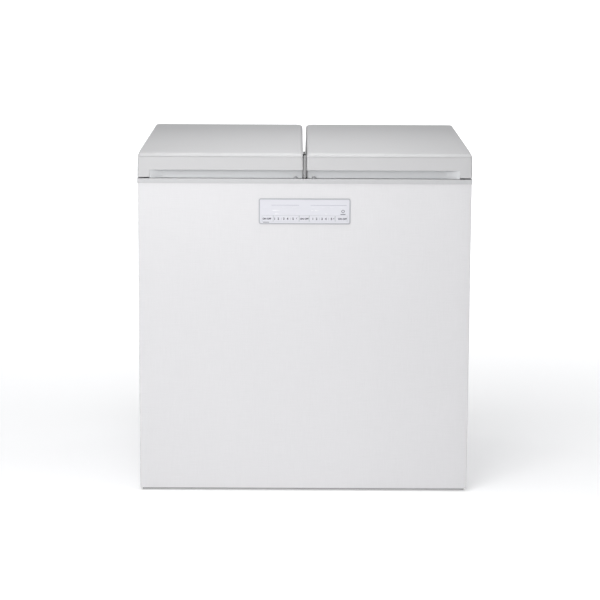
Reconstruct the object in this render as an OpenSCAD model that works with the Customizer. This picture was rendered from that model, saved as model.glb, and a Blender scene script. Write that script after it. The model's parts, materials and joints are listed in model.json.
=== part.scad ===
// Chest refrigerator for kimchi with two lids side by side.
// It stands on the floor: +Z is up, -Y is the front, +X is the viewer's right.
// The origin is on the floor, under the middle of the closed appliance.
// "Left" and "right" are the viewer's, and the right-hand half mirrors the left.

/* [Cabinet] */
// Width over the plastic top frame
body_w = 930; // [860:5:1040]
// Depth from the front of the lids to the tips of the rear spacers
body_d = 776; // [740:2:860]
// Height of the cabinet to the top of its frame
body_h = 889; // [860:1:960]
// Height of the plastic top frame where it shows at the front
frame_h = 14.6; // [10:0.1:20]
// Thickness of the deck between the two mouths
deck_t = 4; // [3:0.5:6]
// Thickness of the steel skins
sheet_t = 1.2; // [0.8:0.1:1.6]
// How far the side skins stand in from the frame
skin_inset = 1.5; // [1:0.1:2.2]
// How far the front skin stands back from the frame
front_setback = 2; // [1.8:0.1:4]
// How far the rear skin stands in from the spacers' tips
rear_setback = 8; // [6:0.5:14]
// Height of the cabinet's underside above the floor
floor_gap = 14; // [12:0.5:20]
// Height of the base pan's turned-down edge
pan_edge = 6.5; // [5:0.5:9]

/* [Compartments] */
// Insulation at each side, with the skins
side_insulation = 75; // [60:1:85]
// Width of the wall between the two compartments
divider_w = 80; // [60:1:100]
// Insulation at the front
front_insulation = 78; // [70:1:90]
// Insulation at the back, with the spacers
rear_insulation = 98; // [90:1:110]
// Insulation under the floor of a compartment
floor_insulation = 164.5; // [120:0.5:180]
// Thickness of the aluminium tub
tub_wall = 1; // [0.8:0.1:2]
// Radius of the tub's upright corners
tub_corner_r = 25; // [10:1:35]
// Insulation between the machine room and the compartments
room_insulation = 66; // [55:1:75]

/* [Lids] */
// Gap between the two lids at their lower edges
lid_gap = 7.7; // [6:0.1:12]
// Height of the gap between a lid and the frame
lid_lift = 4; // [3.5:0.5:5]
// How far a lid's side stands in from the frame
lid_inset = 0.5; // [0:0.1:2]
// Height of a lid at its front
lid_front_h = 67; // [60:1:75]
// Height of a lid at its back
lid_rear_h = 92; // [86:1:100]
// Height of the crease above a lid's lower edge
crease_h = 58; // [50:1:59]
// Radius of the roll between the crease and the top
lid_roll_r = 14; // [12:1:20]
// Radius of a lid's long upper edges
lid_edge_r = 18; // [10:1:24]
// How far a lid's side leans in up to its top
lid_draft = 1.4; // [0.5:0.1:3]
// Radius of a lid's upright corners
lid_corner_r = 4; // [2:0.5:8]
// Thickness of the lid's shell
lid_wall = 3; // [2:0.5:4]
// Thickness of the inner panel
liner_t = 2; // [1.5:0.5:2.5]
// How far the inner panel dips into the tub's mouth
plug_h = 14; // [8:1:20]
// Clearance between the dip and the tub
plug_clear = 12; // [8:1:20]
// Width of the magnetic seal
gasket_w = 14; // [10:1:16]

/* [Handles] */
// Height of the finger recess
recess_h = 20.5; // [16:0.5:24]
// Depth of the finger recess
recess_d = 18; // [14:1:22]
// Distance from a lid's outer side to the recess
recess_end = 33.5; // [25:0.5:45]
// Length of the scooped end of the recess
scoop_l = 24; // [19:1:30]
// Thickness of the handle strip
handle_t = 2.5; // [2:0.5:3]

/* [Hinges] */
// Height of the hinge axis above the deck
hinge_rise = 20; // [18.5:0.5:22]
// Distance of the outer hinges from the cabinet's sides
hinge_outer_inset = 65; // [60:5:110]
// Distance of the inner hinges from the middle
hinge_inner_x = 70; // [60:5:110]
// Diameter of the hinge pin
pin_d = 8; // [6:0.5:9]
// Radial clearance of every running fit
fit = 0.05; // [0.02:0.01:0.1]
// Width of the fixed knuckle
knuckle_w = 24; // [18:1:26]
// Thickness of a moving ear
ear_t = 5; // [3:0.5:6]

/* [Control panel] */
// Width of the control panel
control_w = 255.2; // [240:0.2:270]
// Height of the control panel
control_h = 72.2; // [70:0.2:90]
// Distance of its middle below the top of the frame
control_drop = 90.5; // [75:0.5:110]
// Radius of its corners
control_r = 6.5; // [4:0.5:9]
// Width of the bezel around the fascia
bezel_w = 2.8; // [2:0.1:4]
// Height of the keys
key_h = 17; // [12:0.5:18]
// Width of the bars between the keys
key_bar = 1.2; // [0.8:0.1:2]
// Travel of a key
key_travel = 0.6; // [0.3:0.1:0.8]

/* [Rollers and feet] */
// Diameter of a rear roller
roller_d = 40; // [36:1:44]
// Width of a rear roller
roller_w = 22; // [16:1:28]
// Diameter of an axle
axle_d = 8; // [6:0.5:10]
// Diameter of a levelling foot's pad
foot_d = 38; // [30:1:44]
// Diameter of a levelling foot's stem
stem_d = 12; // [8:0.5:14]
// Distance of the rollers and feet from the cabinet's sides
wheel_inset = 65; // [55:5:95]

/* [Machine room] */
// Height of the machine room above the base pan
room_h = 303.5; // [296:0.5:320]
// Depth of the machine room up to the rear skin
room_d = 324; // [316:1:340]
// Radius of the compressor's shell
compressor_r = 78; // [60:1:85]
// Radius of the condenser fan
fan_r = 76; // [60:1:80]
// Number of blades of the condenser fan
blades = 5; // [3:1:7]
// Number of fins of the condenser
fins = 12; // [6:1:16]

/* [Hidden] */
$fn = 48;
air = 0.3;                                   // gap between pieces that only lie together
eps = 0.01;

front_y = -body_d / 2;
rear_y = body_d / 2;
side_x = body_w / 2;
skin_x = side_x - skin_inset;
skin_y = front_y + front_setback;
back_y = rear_y - rear_setback;
pan_z = floor_gap + pan_edge;
frame_z = body_h - frame_h;
rim_z = body_h - deck_t;
frame_wall = 2.5;
fold = 14;                                   // turned-in edge of the front skin

tub_x0 = -side_x + side_insulation;          // left compartment, inner faces
tub_x1 = -divider_w / 2;
tub_y0 = front_y + front_insulation;
tub_y1 = rear_y - rear_insulation;
tub_z0 = pan_z + floor_insulation;
tub_h = rim_z - tub_z0;
tub_w = tub_x1 - tub_x0;
tub_l = tub_y1 - tub_y0;
tub_x = (tub_x0 + tub_x1) / 2;
tub_y = (tub_y0 + tub_y1) / 2;
room_y = back_y - room_d;                    // front and top of the machine room
room_z = pan_z + room_h;
step_y = room_y - room_insulation;           // step in the tub's floor over the machine room
step_z = room_z + room_insulation;
step_h = step_z - tub_z0;
floor_l = step_y - tub_y0;
flange_w = 10;                               // tub's flange under the deck
lining_t = 1;                                // steel lining of the machine room
coil_pocket = 12;                            // room in the foam for the pipe around a tub
evaporator_r = 4;
evaporator_loops = 6;
evaporator_top = rim_z - 60;
evaporator_low = step_z + 50;

lid_z = body_h + lid_lift;
lid_x0 = -side_x + lid_inset;
lid_x1 = -lid_gap / 2;
axis_z = body_h + hinge_rise;
heel_r = axis_z - lid_z;                     // rounded heel of the lid, about the hinge axis
axis_y = rear_y - 6 - heel_r;
heel_y = axis_y + heel_r;
lid_slope = (lid_rear_h - lid_front_h) / (heel_y - front_y);
recess_x0 = lid_x0 + recess_end + scoop_l;   // where the recess reaches its full depth
scoop_r = (scoop_l * scoop_l + recess_d * recess_d) / (2 * recess_d);

hinge_outer_x = side_x - hinge_outer_inset;
ear_x = knuckle_w / 2 + air;
notch_w = 2 * (ear_x + ear_t) + 12;
notch_y = axis_y - 16;
notch_z = axis_z + 14;
notch_wall = 2;
hinge_plate = [70, 36, 3];
arm_t = 3;
pin_l = notch_w - 2;

key_widths = [32, 72, 28, 72, 34];           // as the printed groups divide the row
key_count = len(key_widths);
key_row_w = control_w - 17;
key_unit = key_row_w / (32 + 72 + 28 + 72 + 34);
bezel_proud = 1.8;
control_z = body_h - control_drop;
key_rise = 7.4;                              // from the panel's lower edge to the keys
key_z = control_z - control_h / 2 + key_rise + key_h / 2;
fascia_t = 1;
fascia_y = skin_y - bezel_proud + 0.3;       // front of the fascia
housing_inset = 4;
housing_wall = 1.5;
housing_y = skin_y + 20;
board_y = skin_y + 12;
board_t = 1.6;
key_stem_y = skin_y + 8;
key_lip = 1.2;

wheel_x = side_x - wheel_inset;
wheel_y = back_y - 80;
wheel_z = roller_d / 2;
foot_y = front_y + 75;
foot_pad_h = 10;
foot_top_z = pan_z + 42;

condenser_x = -wheel_x + 40;
condenser_l = 150;
condenser_rise = 43.5;                       // from the base pan to the fins
fin_size = [140, 190];
fin_t = 0.8;
fin_rail = 10;
fan_x = condenser_x + condenser_l / 2 + 135;
fan_y = (room_y + back_y) / 2;
fan_z = pan_z + condenser_rise + fin_size.y / 2 + 1;
tube_r = 3;
coil_rows = 6;
coil_pitch = 30;
coil_z = fan_z - (coil_rows - 1) * coil_pitch / 2;
coil_ys = [fan_y - 40, fan_y + 40];
compressor_inset = 210;                      // from the right roller to the compressor's middle
compressor_h = 160;
grommet_h = 18;                              // from the base pan to the shell's underside
compressor_x = wheel_x - compressor_inset;
compressor_y = fan_y;
compressor_z = pan_z + grommet_h;
board_box = [110, 46, 150];
board_box_t = 2;
board_box_x = skin_x - 133.5;
board_box_z = pan_z + 99.5;
board_post_h = 8;
gland_x = -wheel_x + 100;
gland_z = floor_gap + 56;

steel = "gainsboro";
shell = "whitesmoke";

// ---------------------------------------------------------------- helpers

// A box from one corner to the other.
module span(a, b) {
    translate(a) cube(b - a);
}

// A flat rectangle with round corners, about its middle.
module round_rect(w, l, r) {
    square([w, l - 2 * r], center = true);
    square([w - 2 * r, l], center = true);
    for (x = [-1, 1], y = [-1, 1])
        translate([x * (w / 2 - r), y * (l / 2 - r)]) circle(r);
}

// An upright block with round corners, about the middle of its foot.
module round_block(w, l, h, r) {
    linear_extrude(h) round_rect(w, l, r);
}

// A round-cornered plate that faces the front, from y0 back to y1.
module front_plate(w, h, r, y0, y1) {
    translate([0, y1, control_z]) rotate([90, 0, 0]) round_block(w, h, y1 - y0, r);
}

// A rod from a to b, along one of the axes.
module rod(a, b, r) {
    d = b - a;
    turn = d.x != 0 ? [0, 90, 0] : d.y != 0 ? [-90, 0, 0] : [0, 0, 0];
    low = [min(a.x, b.x), min(a.y, b.y), min(a.z, b.z)];
    translate(low) rotate(turn) cylinder(r = r, h = abs(d.x) + abs(d.y) + abs(d.z));
}

// A bent pipe: rods along the route, with a ball at each bend.
module pipe(route, r) {
    for (i = [1 : len(route) - 1]) rod(route[i - 1], route[i], r);
    for (i = [1 : len(route) - 2]) translate(route[i]) sphere(r);
}

// Points on an arc about c, from angle a to angle b.
function arc(c, r, a, b, n = 12) =
    [for (i = [0 : n]) c + r * [cos(a + (b - a) * i / n), sin(a + (b - a) * i / n)]];

module left_or_right(side) {
    if (side < 0) children();
    else mirror([1, 0, 0]) children();
}

// ---------------------------------------------------------------- skins and frame

module front_panel() {
    color(shell) difference() {
        union() {
            span([-skin_x, skin_y, pan_z], [skin_x, skin_y + sheet_t, frame_z]);
            for (x = [-skin_x, skin_x - sheet_t])
                translate([x, skin_y, pan_z]) cube([sheet_t, fold, frame_z - pan_z]);
        }
        front_plate(control_w - 2 * housing_inset + 2 * air, control_h - 2 * housing_inset
            + 2 * air, control_r - housing_inset + air, skin_y - 1, skin_y + sheet_t + 1);
    }
}

module side_panel(side) {
    left_or_right(side) color(steel)
        span([-skin_x, skin_y + fold, pan_z], [-skin_x + sheet_t, back_y - sheet_t, frame_z]);
}

module rear_panel() {
    color(steel) span([-skin_x, back_y - sheet_t, room_z + 4], [skin_x, back_y, frame_z]);
}

module base_pan() {
    half = skin_x - 5;
    y0 = skin_y + 1;
    y1 = back_y - sheet_t - air;
    color("dimgray") difference() {
        span([-half, y0, floor_gap], [half, y1, pan_z]);
        span([-half + sheet_t, y0 + sheet_t, floor_gap - 1],
            [half - sheet_t, y1 - sheet_t, pan_z - sheet_t]);
        for (s = [-1, 1]) {
            translate([s * wheel_x, wheel_y, pan_z])
                cube([roller_w + 16, roller_d + 12, 4 * pan_edge], center = true);
            translate([s * wheel_x, foot_y, floor_gap])
                cylinder(r = stem_d / 2 + 1, h = 2 * pan_edge);
        }
        translate([compressor_x, compressor_y, 0]) drain_slots();
    }
    // Welded nuts for the levelling feet
    color("silver") for (s = [-1, 1]) translate([s * wheel_x, foot_y, pan_z]) difference() {
        cylinder(r = stem_d / 2 + 6, h = 12);
        translate([0, 0, -1]) cylinder(r = stem_d / 2 + fit, h = 14);
    }
}

module drain_slots() {
    for (i = [-3 : 3]) translate([-30, i * 14 - 3, floor_gap]) cube([60, 6, 2 * pan_edge]);
}

module machine_room_lining() {
    color("lightgray") {
        span([-skin_x + sheet_t + air, room_y, pan_z + air],
            [skin_x - sheet_t - air, room_y + lining_t, room_z]);
        span([-skin_x + sheet_t + air, room_y, room_z - lining_t],
            [skin_x - sheet_t - air, back_y - sheet_t - air, room_z]);
    }
}

module machine_room_cover() {
    slot = [90, 4];
    color("lightgray") difference() {
        union() {
            span([-skin_x + 2, back_y - sheet_t, pan_z + 2], [skin_x - 2, back_y, room_z + 3]);
            for (s = [-1, 1]) translate([s * (skin_x - 60), 0, pan_z + 160])
                span([-8, back_y - eps, -60], [8, rear_y, 60]);
        }
        for (x = [-230, 80, 200], i = [0 : 11])
            translate([x, back_y - 2 * sheet_t, pan_z + 90 + i * 14]) cube([slot.x, 3 * sheet_t, slot.y]);
        translate([gland_x, back_y + 2, gland_z]) rotate([90, 0, 0]) cylinder(r = 10 + air, h = 8);
        for (p = cover_screw_places()) translate([p.x, back_y + 2, p.y])
            rotate([90, 0, 0]) cylinder(r = 2.2, h = 8);
    }
}

function cover_screw_places() =
    [for (x = [-skin_x + 20, -120, 120, skin_x - 20], z = [pan_z + 14, room_z - 8]) [x, z]];

module cover_screws() {
    color("silver") for (p = cover_screw_places()) translate([p.x, back_y, p.y]) {
        rotate([-90, 0, 0]) cylinder(r = 4.5, h = 2.4);
        rotate([90, 0, 0]) cylinder(r = 1.9, h = 6);
    }
}

module top_frame() {
    color(shell) difference() {
        union() {
            span([-side_x, front_y, frame_z], [side_x, heel_y, body_h]);
            span([-side_x + 40, heel_y - eps, rim_z], [side_x - 40, rear_y, body_h]);
        }
        // Hollow under the deck, where the skins and the insulation reach up
        span([-side_x + frame_wall, front_y + frame_wall, frame_z - 1],
            [side_x - frame_wall, heel_y - frame_wall + 1, rim_z]);
        for (s = [-1, 1]) translate([s * tub_x, tub_y, frame_z])
            round_block(tub_w, tub_l, 2 * frame_h, tub_corner_r);
        for (p = hinge_screw_places()) translate([p.x, p.y, rim_z - 1])
            cylinder(r = 2.2, h = deck_t + 2);
    }
}

module cabinet_foam() {
    gap = air;
    color("khaki") difference() {
        span([-skin_x + sheet_t + gap, skin_y + sheet_t + gap, pan_z + gap],
            [skin_x - sheet_t - gap, back_y - sheet_t - gap, rim_z - tub_wall - gap]);
        for (s = [-1, 1]) {
            translate([s * tub_x, 0, 0]) mirror([s < 0 ? 0 : 1, 0, 0])
                tub_block(tub_wall + gap, 2 * deck_t);
            // Room for the evaporator pipe around the tub
            translate([s * tub_x, tub_y, step_z + 20])
                round_block(tub_w + 2 * coil_pocket, tub_l + 2 * coil_pocket,
                    tub_h - step_h - 50, coil_pocket / 2);
            // Room for the stem of a levelling foot
            translate([s * wheel_x, foot_y, pan_z])
                cylinder(r = stem_d / 2 + 7, h = foot_top_z - pan_z + 4);
        }
        // Machine room at the back, with its lining
        span([-side_x, room_y - gap, pan_z - 1], [side_x, rear_y, room_z + gap]);
        front_plate(control_w - 2 * housing_inset + 2, control_h - 2 * housing_inset + 2,
            control_r - housing_inset + 1, skin_y, housing_y + 1);
    }
}

// ---------------------------------------------------------------- compartments

// The left tub's inner space, about x = 0, grown by a wall and raised above the rim.
module tub_block(wall, above) {
    w = tub_w + 2 * wall;
    r = tub_corner_r + wall;
    translate([0, tub_y, step_z - wall])
        round_block(w, tub_l + 2 * wall, rim_z - step_z + wall + above, r);
    translate([0, tub_y0 + floor_l / 2, tub_z0 - wall])
        round_block(w, floor_l + 2 * wall, step_h + wall + 40, r);
}

module inner_tub(side) {
    color("lightsteelblue") translate([side * -tub_x, 0, 0]) difference() {
        union() {
            tub_block(tub_wall, 0);
            translate([0, tub_y, rim_z - tub_wall]) round_block(tub_w + 2 * flange_w,
                tub_l + 2 * flange_w, tub_wall, tub_corner_r + flange_w);
        }
        tub_block(0, 2);
    }
}

// Pipe that winds down around the tub, one loop under the other.
module evaporator_pipe(side) {
    r = evaporator_r;
    out = tub_wall + r + 0.2;
    x1 = tub_w / 2 + out;
    y0 = tub_y0 - out;
    y1 = tub_y1 + out;
    pitch = (evaporator_top - evaporator_low) / (evaporator_loops - 1);
    gap = 30;                                // between the two ends of a loop
    color("peru") translate([side * -tub_x, 0, 0]) {
        for (i = [0 : evaporator_loops - 1]) translate([0, 0, evaporator_top - i * pitch])
            pipe([[x1, y1, 0], [-x1, y1, 0], [-x1, y0, 0], [x1, y0, 0], [x1, y1 - gap, 0]], r);
        for (i = [0 : evaporator_loops - 2]) {
            y = i % 2 == 0 ? y1 - gap : y1;
            z = evaporator_top - i * pitch;
            rod([x1, y, z], [x1, y, z - pitch], r);
        }
    }
}

sensor_drop = 150;                           // from the rim to the cover's middle
sensor_cover = [34, 8, 56];

module tub_sensor_covers() {
    color("lightgray") for (s = [-1, 1])
        translate([s * tub_x, tub_y1 - sensor_cover.y / 2, rim_z - sensor_drop])
            difference() {
                cube(sensor_cover, center = true);
                for (z = [-18 : 9 : 18]) translate([0, -4, z]) cube([22, 3, 3], center = true);
            }
}

// ---------------------------------------------------------------- lids

function lid_top(y) = lid_z + lid_front_h + (y - front_y) * lid_slope;

// Side view of the left lid in (y, z), moved in by i from every outer face.
function lid_profile(i) =
    let (
        f = front_y + i,
        roll = lid_roll_r - i / 2,
        roll_y = f + roll - 1,
        roll_c = [roll_y, lid_top(roll_y) - i - roll],
        crease = lid_z + crease_h - i / 2,
        rise = crease - roll_c.y,
        start = 180 - asin(max(0, min(1, rise / roll))),
        top_r = 10 - i / 2,
        top_c = [heel_y - i - top_r, lid_top(heel_y - top_r) - i - top_r],
        low = i > 0 ? lid_z - 1 : lid_z
    ) concat(
        [[f, low], [f, crease]],
        arc(roll_c, roll, start, 90),
        arc(top_c, top_r, 90, 0),
        arc([axis_y, axis_z], heel_r - i, 0, -90),
        i > 0 ? [[axis_y, low]] : []
    );

// The left lid's outer form, moved in by i.
module lid_form(i) {
    x0 = lid_x0 + i;
    x1 = lid_x1 - i;
    r = lid_edge_r - i;
    low = lid_z - (i > 0 ? 1 : 0);
    intersection() {
        translate([x0 - 1, 0, 0]) rotate([90, 0, 90]) linear_extrude(x1 - x0 + 2)
            polygon(lid_profile(i));
        hull() {
            span([x0, front_y, low], [x1, heel_y, low + 1]);
            for (x = [x0 + lid_draft + r, x1 - lid_draft - r], y = [front_y, heel_y - 1])
                translate([x, y + 1, lid_top(y) - i - r]) rotate([90, 0, 0])
                    cylinder(r = r, h = 1);
        }
        translate([(x0 + x1) / 2, (front_y + heel_y) / 2, low - 1])
            round_block(x1 - x0, heel_y - front_y - 2 * i, 2 * lid_rear_h, lid_corner_r);
    }
}

// Finger recess along the front of the left lid: scooped at its outer end, open at the other.
module recess(out) {
    back = front_y + recess_d;
    top = lid_z + recess_h;
    span([recess_x0, front_y - out, lid_z - out], [lid_x1 + out, back, top]);
    intersection() {
        translate([recess_x0, back - scoop_r, lid_z - out])
            cylinder(r = scoop_r, h = top - lid_z + out);
        span([recess_x0 - scoop_r, front_y - out, lid_z - out], [recess_x0 + 1, back, top]);
    }
}

// Notch at the back of the left lid around each hinge.
module hinge_notches(grow) {
    for (x = [hinge_outer_x, hinge_inner_x])
        span([-x - notch_w / 2 - grow, notch_y - grow, lid_z - 2],
            [-x + notch_w / 2 + grow, rear_y + 20, notch_z + grow]);
}

// Seat of the handle strip: behind the front wall, from the lid's outer side to its inner end.
module handle_seat(grow, out) {
    span([lid_x0 + lid_wall - grow, front_y + lid_wall, lid_z - out],
        [lid_x1 + out, front_y + recess_d + handle_t + grow, lid_z + recess_h + handle_t + grow]);
}

module lid_shell(side) {
    left_or_right(side) color(shell) difference() {
        lid_form(0);
        difference() {
            lid_form(lid_wall);
            hinge_notches(notch_wall);
        }
        recess(5);
        handle_seat(0, 5);
        hinge_notches(0);
    }
}

module lid_handle(side) {
    end = lid_x1 - lid_draft;
    left_or_right(side) color("lightsteelblue") difference() {
        intersection() {
            handle_seat(-air, 0);
            span([lid_x0, front_y, lid_z], [end, 0, axis_z + lid_front_h]);
        }
        recess(5);
    }
}

// Inner panel, with a dip that reaches into the tub's mouth.
module lid_liner(side) {
    pw = tub_w - 2 * plug_clear;
    pl = tub_l - 2 * plug_clear;
    r = tub_corner_r - 8;
    y0 = front_y + recess_d + handle_t + air;
    y1 = axis_y - air;
    left_or_right(side) color("snow") difference() {
        union() {
            translate([(lid_x0 + lid_x1) / 2, (y0 + y1) / 2, lid_z])
                round_block(lid_x1 - lid_x0 - 2 * (lid_wall + air), y1 - y0, liner_t, lid_corner_r);
            translate([tub_x, tub_y, lid_z - plug_h]) round_block(pw, pl, plug_h + eps, r);
        }
        translate([tub_x, tub_y, lid_z - plug_h + liner_t])
            round_block(pw - 2 * liner_t, pl - 2 * liner_t, plug_h + liner_t, r - liner_t);
        hinge_notches(notch_wall + air);
    }
}

module lid_foam(side) {
    pw = tub_w - 2 * plug_clear - 2 * liner_t - 2 * air;
    pl = tub_l - 2 * plug_clear - 2 * liner_t - 2 * air;
    left_or_right(side) color("khaki") {
        difference() {
            lid_form(lid_wall + air);
            span([-body_w, front_y, lid_z - 5], [0, rear_y, lid_z + liner_t + air]);
            handle_seat(air, 5);
            hinge_notches(notch_wall + air);
        }
        translate([tub_x, tub_y, lid_z - plug_h + liner_t + air])
            round_block(pw, pl, plug_h + 1, tub_corner_r - 8 - liner_t - air);
    }
}

module lid_gasket(side) {
    in_w = tub_w + 12;
    in_l = tub_l + 12;
    left_or_right(side) color("gray") translate([tub_x, tub_y, body_h]) difference() {
        round_block(in_w + 2 * gasket_w, in_l + 2 * gasket_w, lid_lift, tub_corner_r + gasket_w);
        translate([0, 0, -1]) round_block(in_w, in_l, lid_lift + 2, tub_corner_r);
    }
}

module lid_bumpers() {
    color("dimgray") for (x = [22, side_x - 23], s = [-1, 1])
        translate([s * x - 5.5, front_y + recess_d + 4, body_h]) cube([11, 9, lid_lift - 0.1]);
}

// ---------------------------------------------------------------- hinges

function hinge_xs() = [-hinge_outer_x, -hinge_inner_x, hinge_inner_x, hinge_outer_x];

function hinge_screw_places() = [for (x = hinge_xs(), i = [-1, 1]) [x + i * 26, axis_y - 8]];

module hinge_bases() {
    knuckle_r = pin_d / 2 + 3;
    color("silver") difference() {
        for (x = hinge_xs()) {
            translate([x - hinge_plate.x / 2, axis_y - 26, body_h]) cube(hinge_plate);
            span([x - knuckle_w / 2, axis_y - knuckle_r, body_h + eps],
                [x + knuckle_w / 2, axis_y + knuckle_r, axis_z]);
            translate([x - knuckle_w / 2, axis_y, axis_z]) rotate([0, 90, 0])
                cylinder(r = knuckle_r, h = knuckle_w);
        }
        for (x = hinge_xs()) translate([x - 30, axis_y, axis_z]) rotate([0, 90, 0])
            cylinder(d = pin_d, h = 60);
        for (p = hinge_screw_places()) translate([p.x, p.y, body_h - 1]) cylinder(r = 2.2, h = 8);
    }
}

module hinge_pins() {
    color("gray") for (x = hinge_xs()) translate([x - pin_l / 2, axis_y, axis_z])
        rotate([0, 90, 0]) cylinder(d = pin_d, h = pin_l);
}

module hinge_screws() {
    color("silver") for (p = hinge_screw_places()) translate([p.x, p.y, body_h]) {
        translate([0, 0, hinge_plate.z]) cylinder(r = 3.6, h = lid_lift - hinge_plate.z - 0.4);
        translate([0, 0, -deck_t]) cylinder(r = 1.9, h = deck_t + hinge_plate.z);
    }
}

// One moving half per hinge: a plate on the notch's wall and two ears around the pin.
module hinge_arms(side) {
    plate_h = notch_z - lid_z - 6;
    ear_r = pin_d / 2 + 5;
    left_or_right(side) color("silver") for (x = [-hinge_outer_x, -hinge_inner_x]) {
        translate([x - ear_x - ear_t, notch_y, axis_z - plate_h / 2])
            cube([2 * (ear_x + ear_t), arm_t, plate_h]);
        for (e = [-ear_x - ear_t, ear_x]) translate([x + e, 0, 0]) rotate([90, 0, 90])
            linear_extrude(ear_t) difference() {
                union() {
                    translate([axis_y, axis_z]) circle(ear_r);
                    polygon([[notch_y + arm_t - eps, axis_z - plate_h / 2],
                        [axis_y, axis_z - ear_r], [axis_y, axis_z + ear_r],
                        [notch_y + arm_t - eps, axis_z + plate_h / 2]]);
                }
                translate([axis_y, axis_z]) circle(pin_d / 2 + fit);
            }
    }
}

module centre_cover() {
    fin_w = lid_gap - 3;
    color("dimgray") {
        span([-24, axis_y - 20, body_h], [24, axis_y + 8, body_h + lid_lift - 1]);
        span([-fin_w / 2, axis_y - 20, body_h], [fin_w / 2, axis_y + 8, body_h + 12]);
    }
}

// ---------------------------------------------------------------- control panel

module control_bezel() {
    in_w = control_w - 2 * bezel_w;
    in_h = control_h - 2 * bezel_w;
    box = [control_w - 2 * housing_inset, control_h - 2 * housing_inset];
    hollow = [box.x - 2 * housing_wall, box.y - 2 * housing_wall];
    color("darkgray") {
        difference() {
            union() {
                front_plate(control_w, control_h, control_r, skin_y - bezel_proud, skin_y);
                front_plate(box.x, box.y, control_r - housing_inset, skin_y - eps, housing_y);
            }
            front_plate(in_w, in_h, control_r - bezel_w, skin_y - bezel_proud - 1,
                fascia_y + fascia_t);
            front_plate(hollow.x, hollow.y, 1, fascia_y, housing_y - housing_wall);
        }
        // Posts that carry the display board
        for (x = [-1, 1], z = [-1, 1])
            translate([x * (hollow.x / 2 - 8), 0, control_z + z * (hollow.y / 2 - 8)])
                rod([0, board_y + board_t, 0], [0, housing_y - housing_wall + eps, 0], 3);
    }
}

// Left end of key i in the row, in row units.
function key_start(i) = i == 0 ? 0 : key_start(i - 1) + key_widths[i - 1];
function key_mid(i) = -key_row_w / 2 + key_unit * (key_start(i) + key_widths[i] / 2);
function key_wide(i) = key_unit * key_widths[i] - key_bar - 2 * air;

module control_fascia() {
    color("lavender") difference() {
        front_plate(control_w - 2 * bezel_w - 2 * air, control_h - 2 * bezel_w - 2 * air,
            control_r - bezel_w, fascia_y, fascia_y + fascia_t);
        for (i = [0 : key_count - 1]) translate([key_mid(i), fascia_y, key_z])
            cube([key_wide(i) + 2 * air, 4, key_h + 2 * air], center = true);
    }
}

module key(i) {
    w = key_wide(i);
    lip_y = fascia_y + fascia_t + air;
    color("lavender") translate([key_mid(i), 0, key_z]) {
        span([-w / 2, fascia_y - 0.1, -key_h / 2], [w / 2, lip_y + eps, key_h / 2]);
        span([-w / 2, lip_y, -key_h / 2 - key_lip], [w / 2, lip_y + 1, key_h / 2 + key_lip]);
        rod([0, lip_y + 1 - eps, 0], [0, key_stem_y, 0], 2);
    }
}

module display_board() {
    w = control_w - 2 * housing_inset - 2 * housing_wall - 2;
    h = control_h - 2 * housing_inset - 2 * housing_wall - 2;
    color("darkgreen") {
        translate([0, board_y + board_t / 2, control_z]) cube([w, board_t, h], center = true);
        // A small switch behind each key
        for (i = [0 : key_count - 1])
            span([key_mid(i) - 3, key_stem_y + key_travel + 0.1, key_z - 3],
                [key_mid(i) + 3, board_y + eps, key_z + 3]);
        // Lamps of the two displays
        for (x = [-1, 1]) translate([x * control_w / 4, board_y - 2, control_z + 8])
            cube([60, 4 + eps, 14], center = true);
    }
}

// ---------------------------------------------------------------- machine room

module compressor() {
    r = compressor_r;
    cap = 26;
    shoulder = compressor_h - cap - 4;
    color("dimgray") translate([compressor_x, compressor_y, compressor_z]) {
        rotate_extrude() polygon(concat([[0, 0]], arc([r - 14, 14], 14, -90, 0),
            arc([r - cap, shoulder], cap, 0, 90), [[0, compressor_h]]));
        // Saddle feet on the rubber grommets
        for (s = [-1, 1]) span([-r - 12, s * 50 - 12, -4], [r + 12, s * 50 + 12, 0.5]);
        // Terminal box
        translate([r - 8, -22, 40]) cube([24, 44, 52]);
    }
}

module compressor_grommets() {
    color("black") translate([compressor_x, compressor_y, pan_z]) for (x = [-1, 1], y = [-1, 1])
        translate([x * (compressor_r + 2), y * 50, 0]) cylinder(r = 9, h = compressor_z - 4 - pan_z);
}

module condenser_coil() {
    x0 = condenser_x - condenser_l / 2;
    x1 = condenser_x + condenser_l / 2;
    top = coil_z + (coil_rows - 1) * coil_pitch;
    color("dimgray") {
        for (y = coil_ys) {
            for (i = [0 : coil_rows - 1])
                rod([x0, y, coil_z + i * coil_pitch], [x1, y, coil_z + i * coil_pitch], tube_r);
            for (i = [0 : coil_rows - 2])
                translate([i % 2 == 0 ? x1 : x0, y, coil_z + (i + 0.5) * coil_pitch])
                    rotate([90, 0, 0]) difference() {
                        rotate_extrude() translate([coil_pitch / 2, 0]) circle(tube_r);
                        translate([i % 2 == 0 ? -coil_pitch : 0, -coil_pitch, -coil_pitch])
                            cube([coil_pitch, 2 * coil_pitch, 2 * coil_pitch]);
                    }
        }
        // Link between the two columns at the top
        pipe([[x0, coil_ys[0], top], [x0 - 11, coil_ys[0], top], [x0 - 11, coil_ys[1], top],
            [x0, coil_ys[1], top]], tube_r);
    }
}

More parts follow.
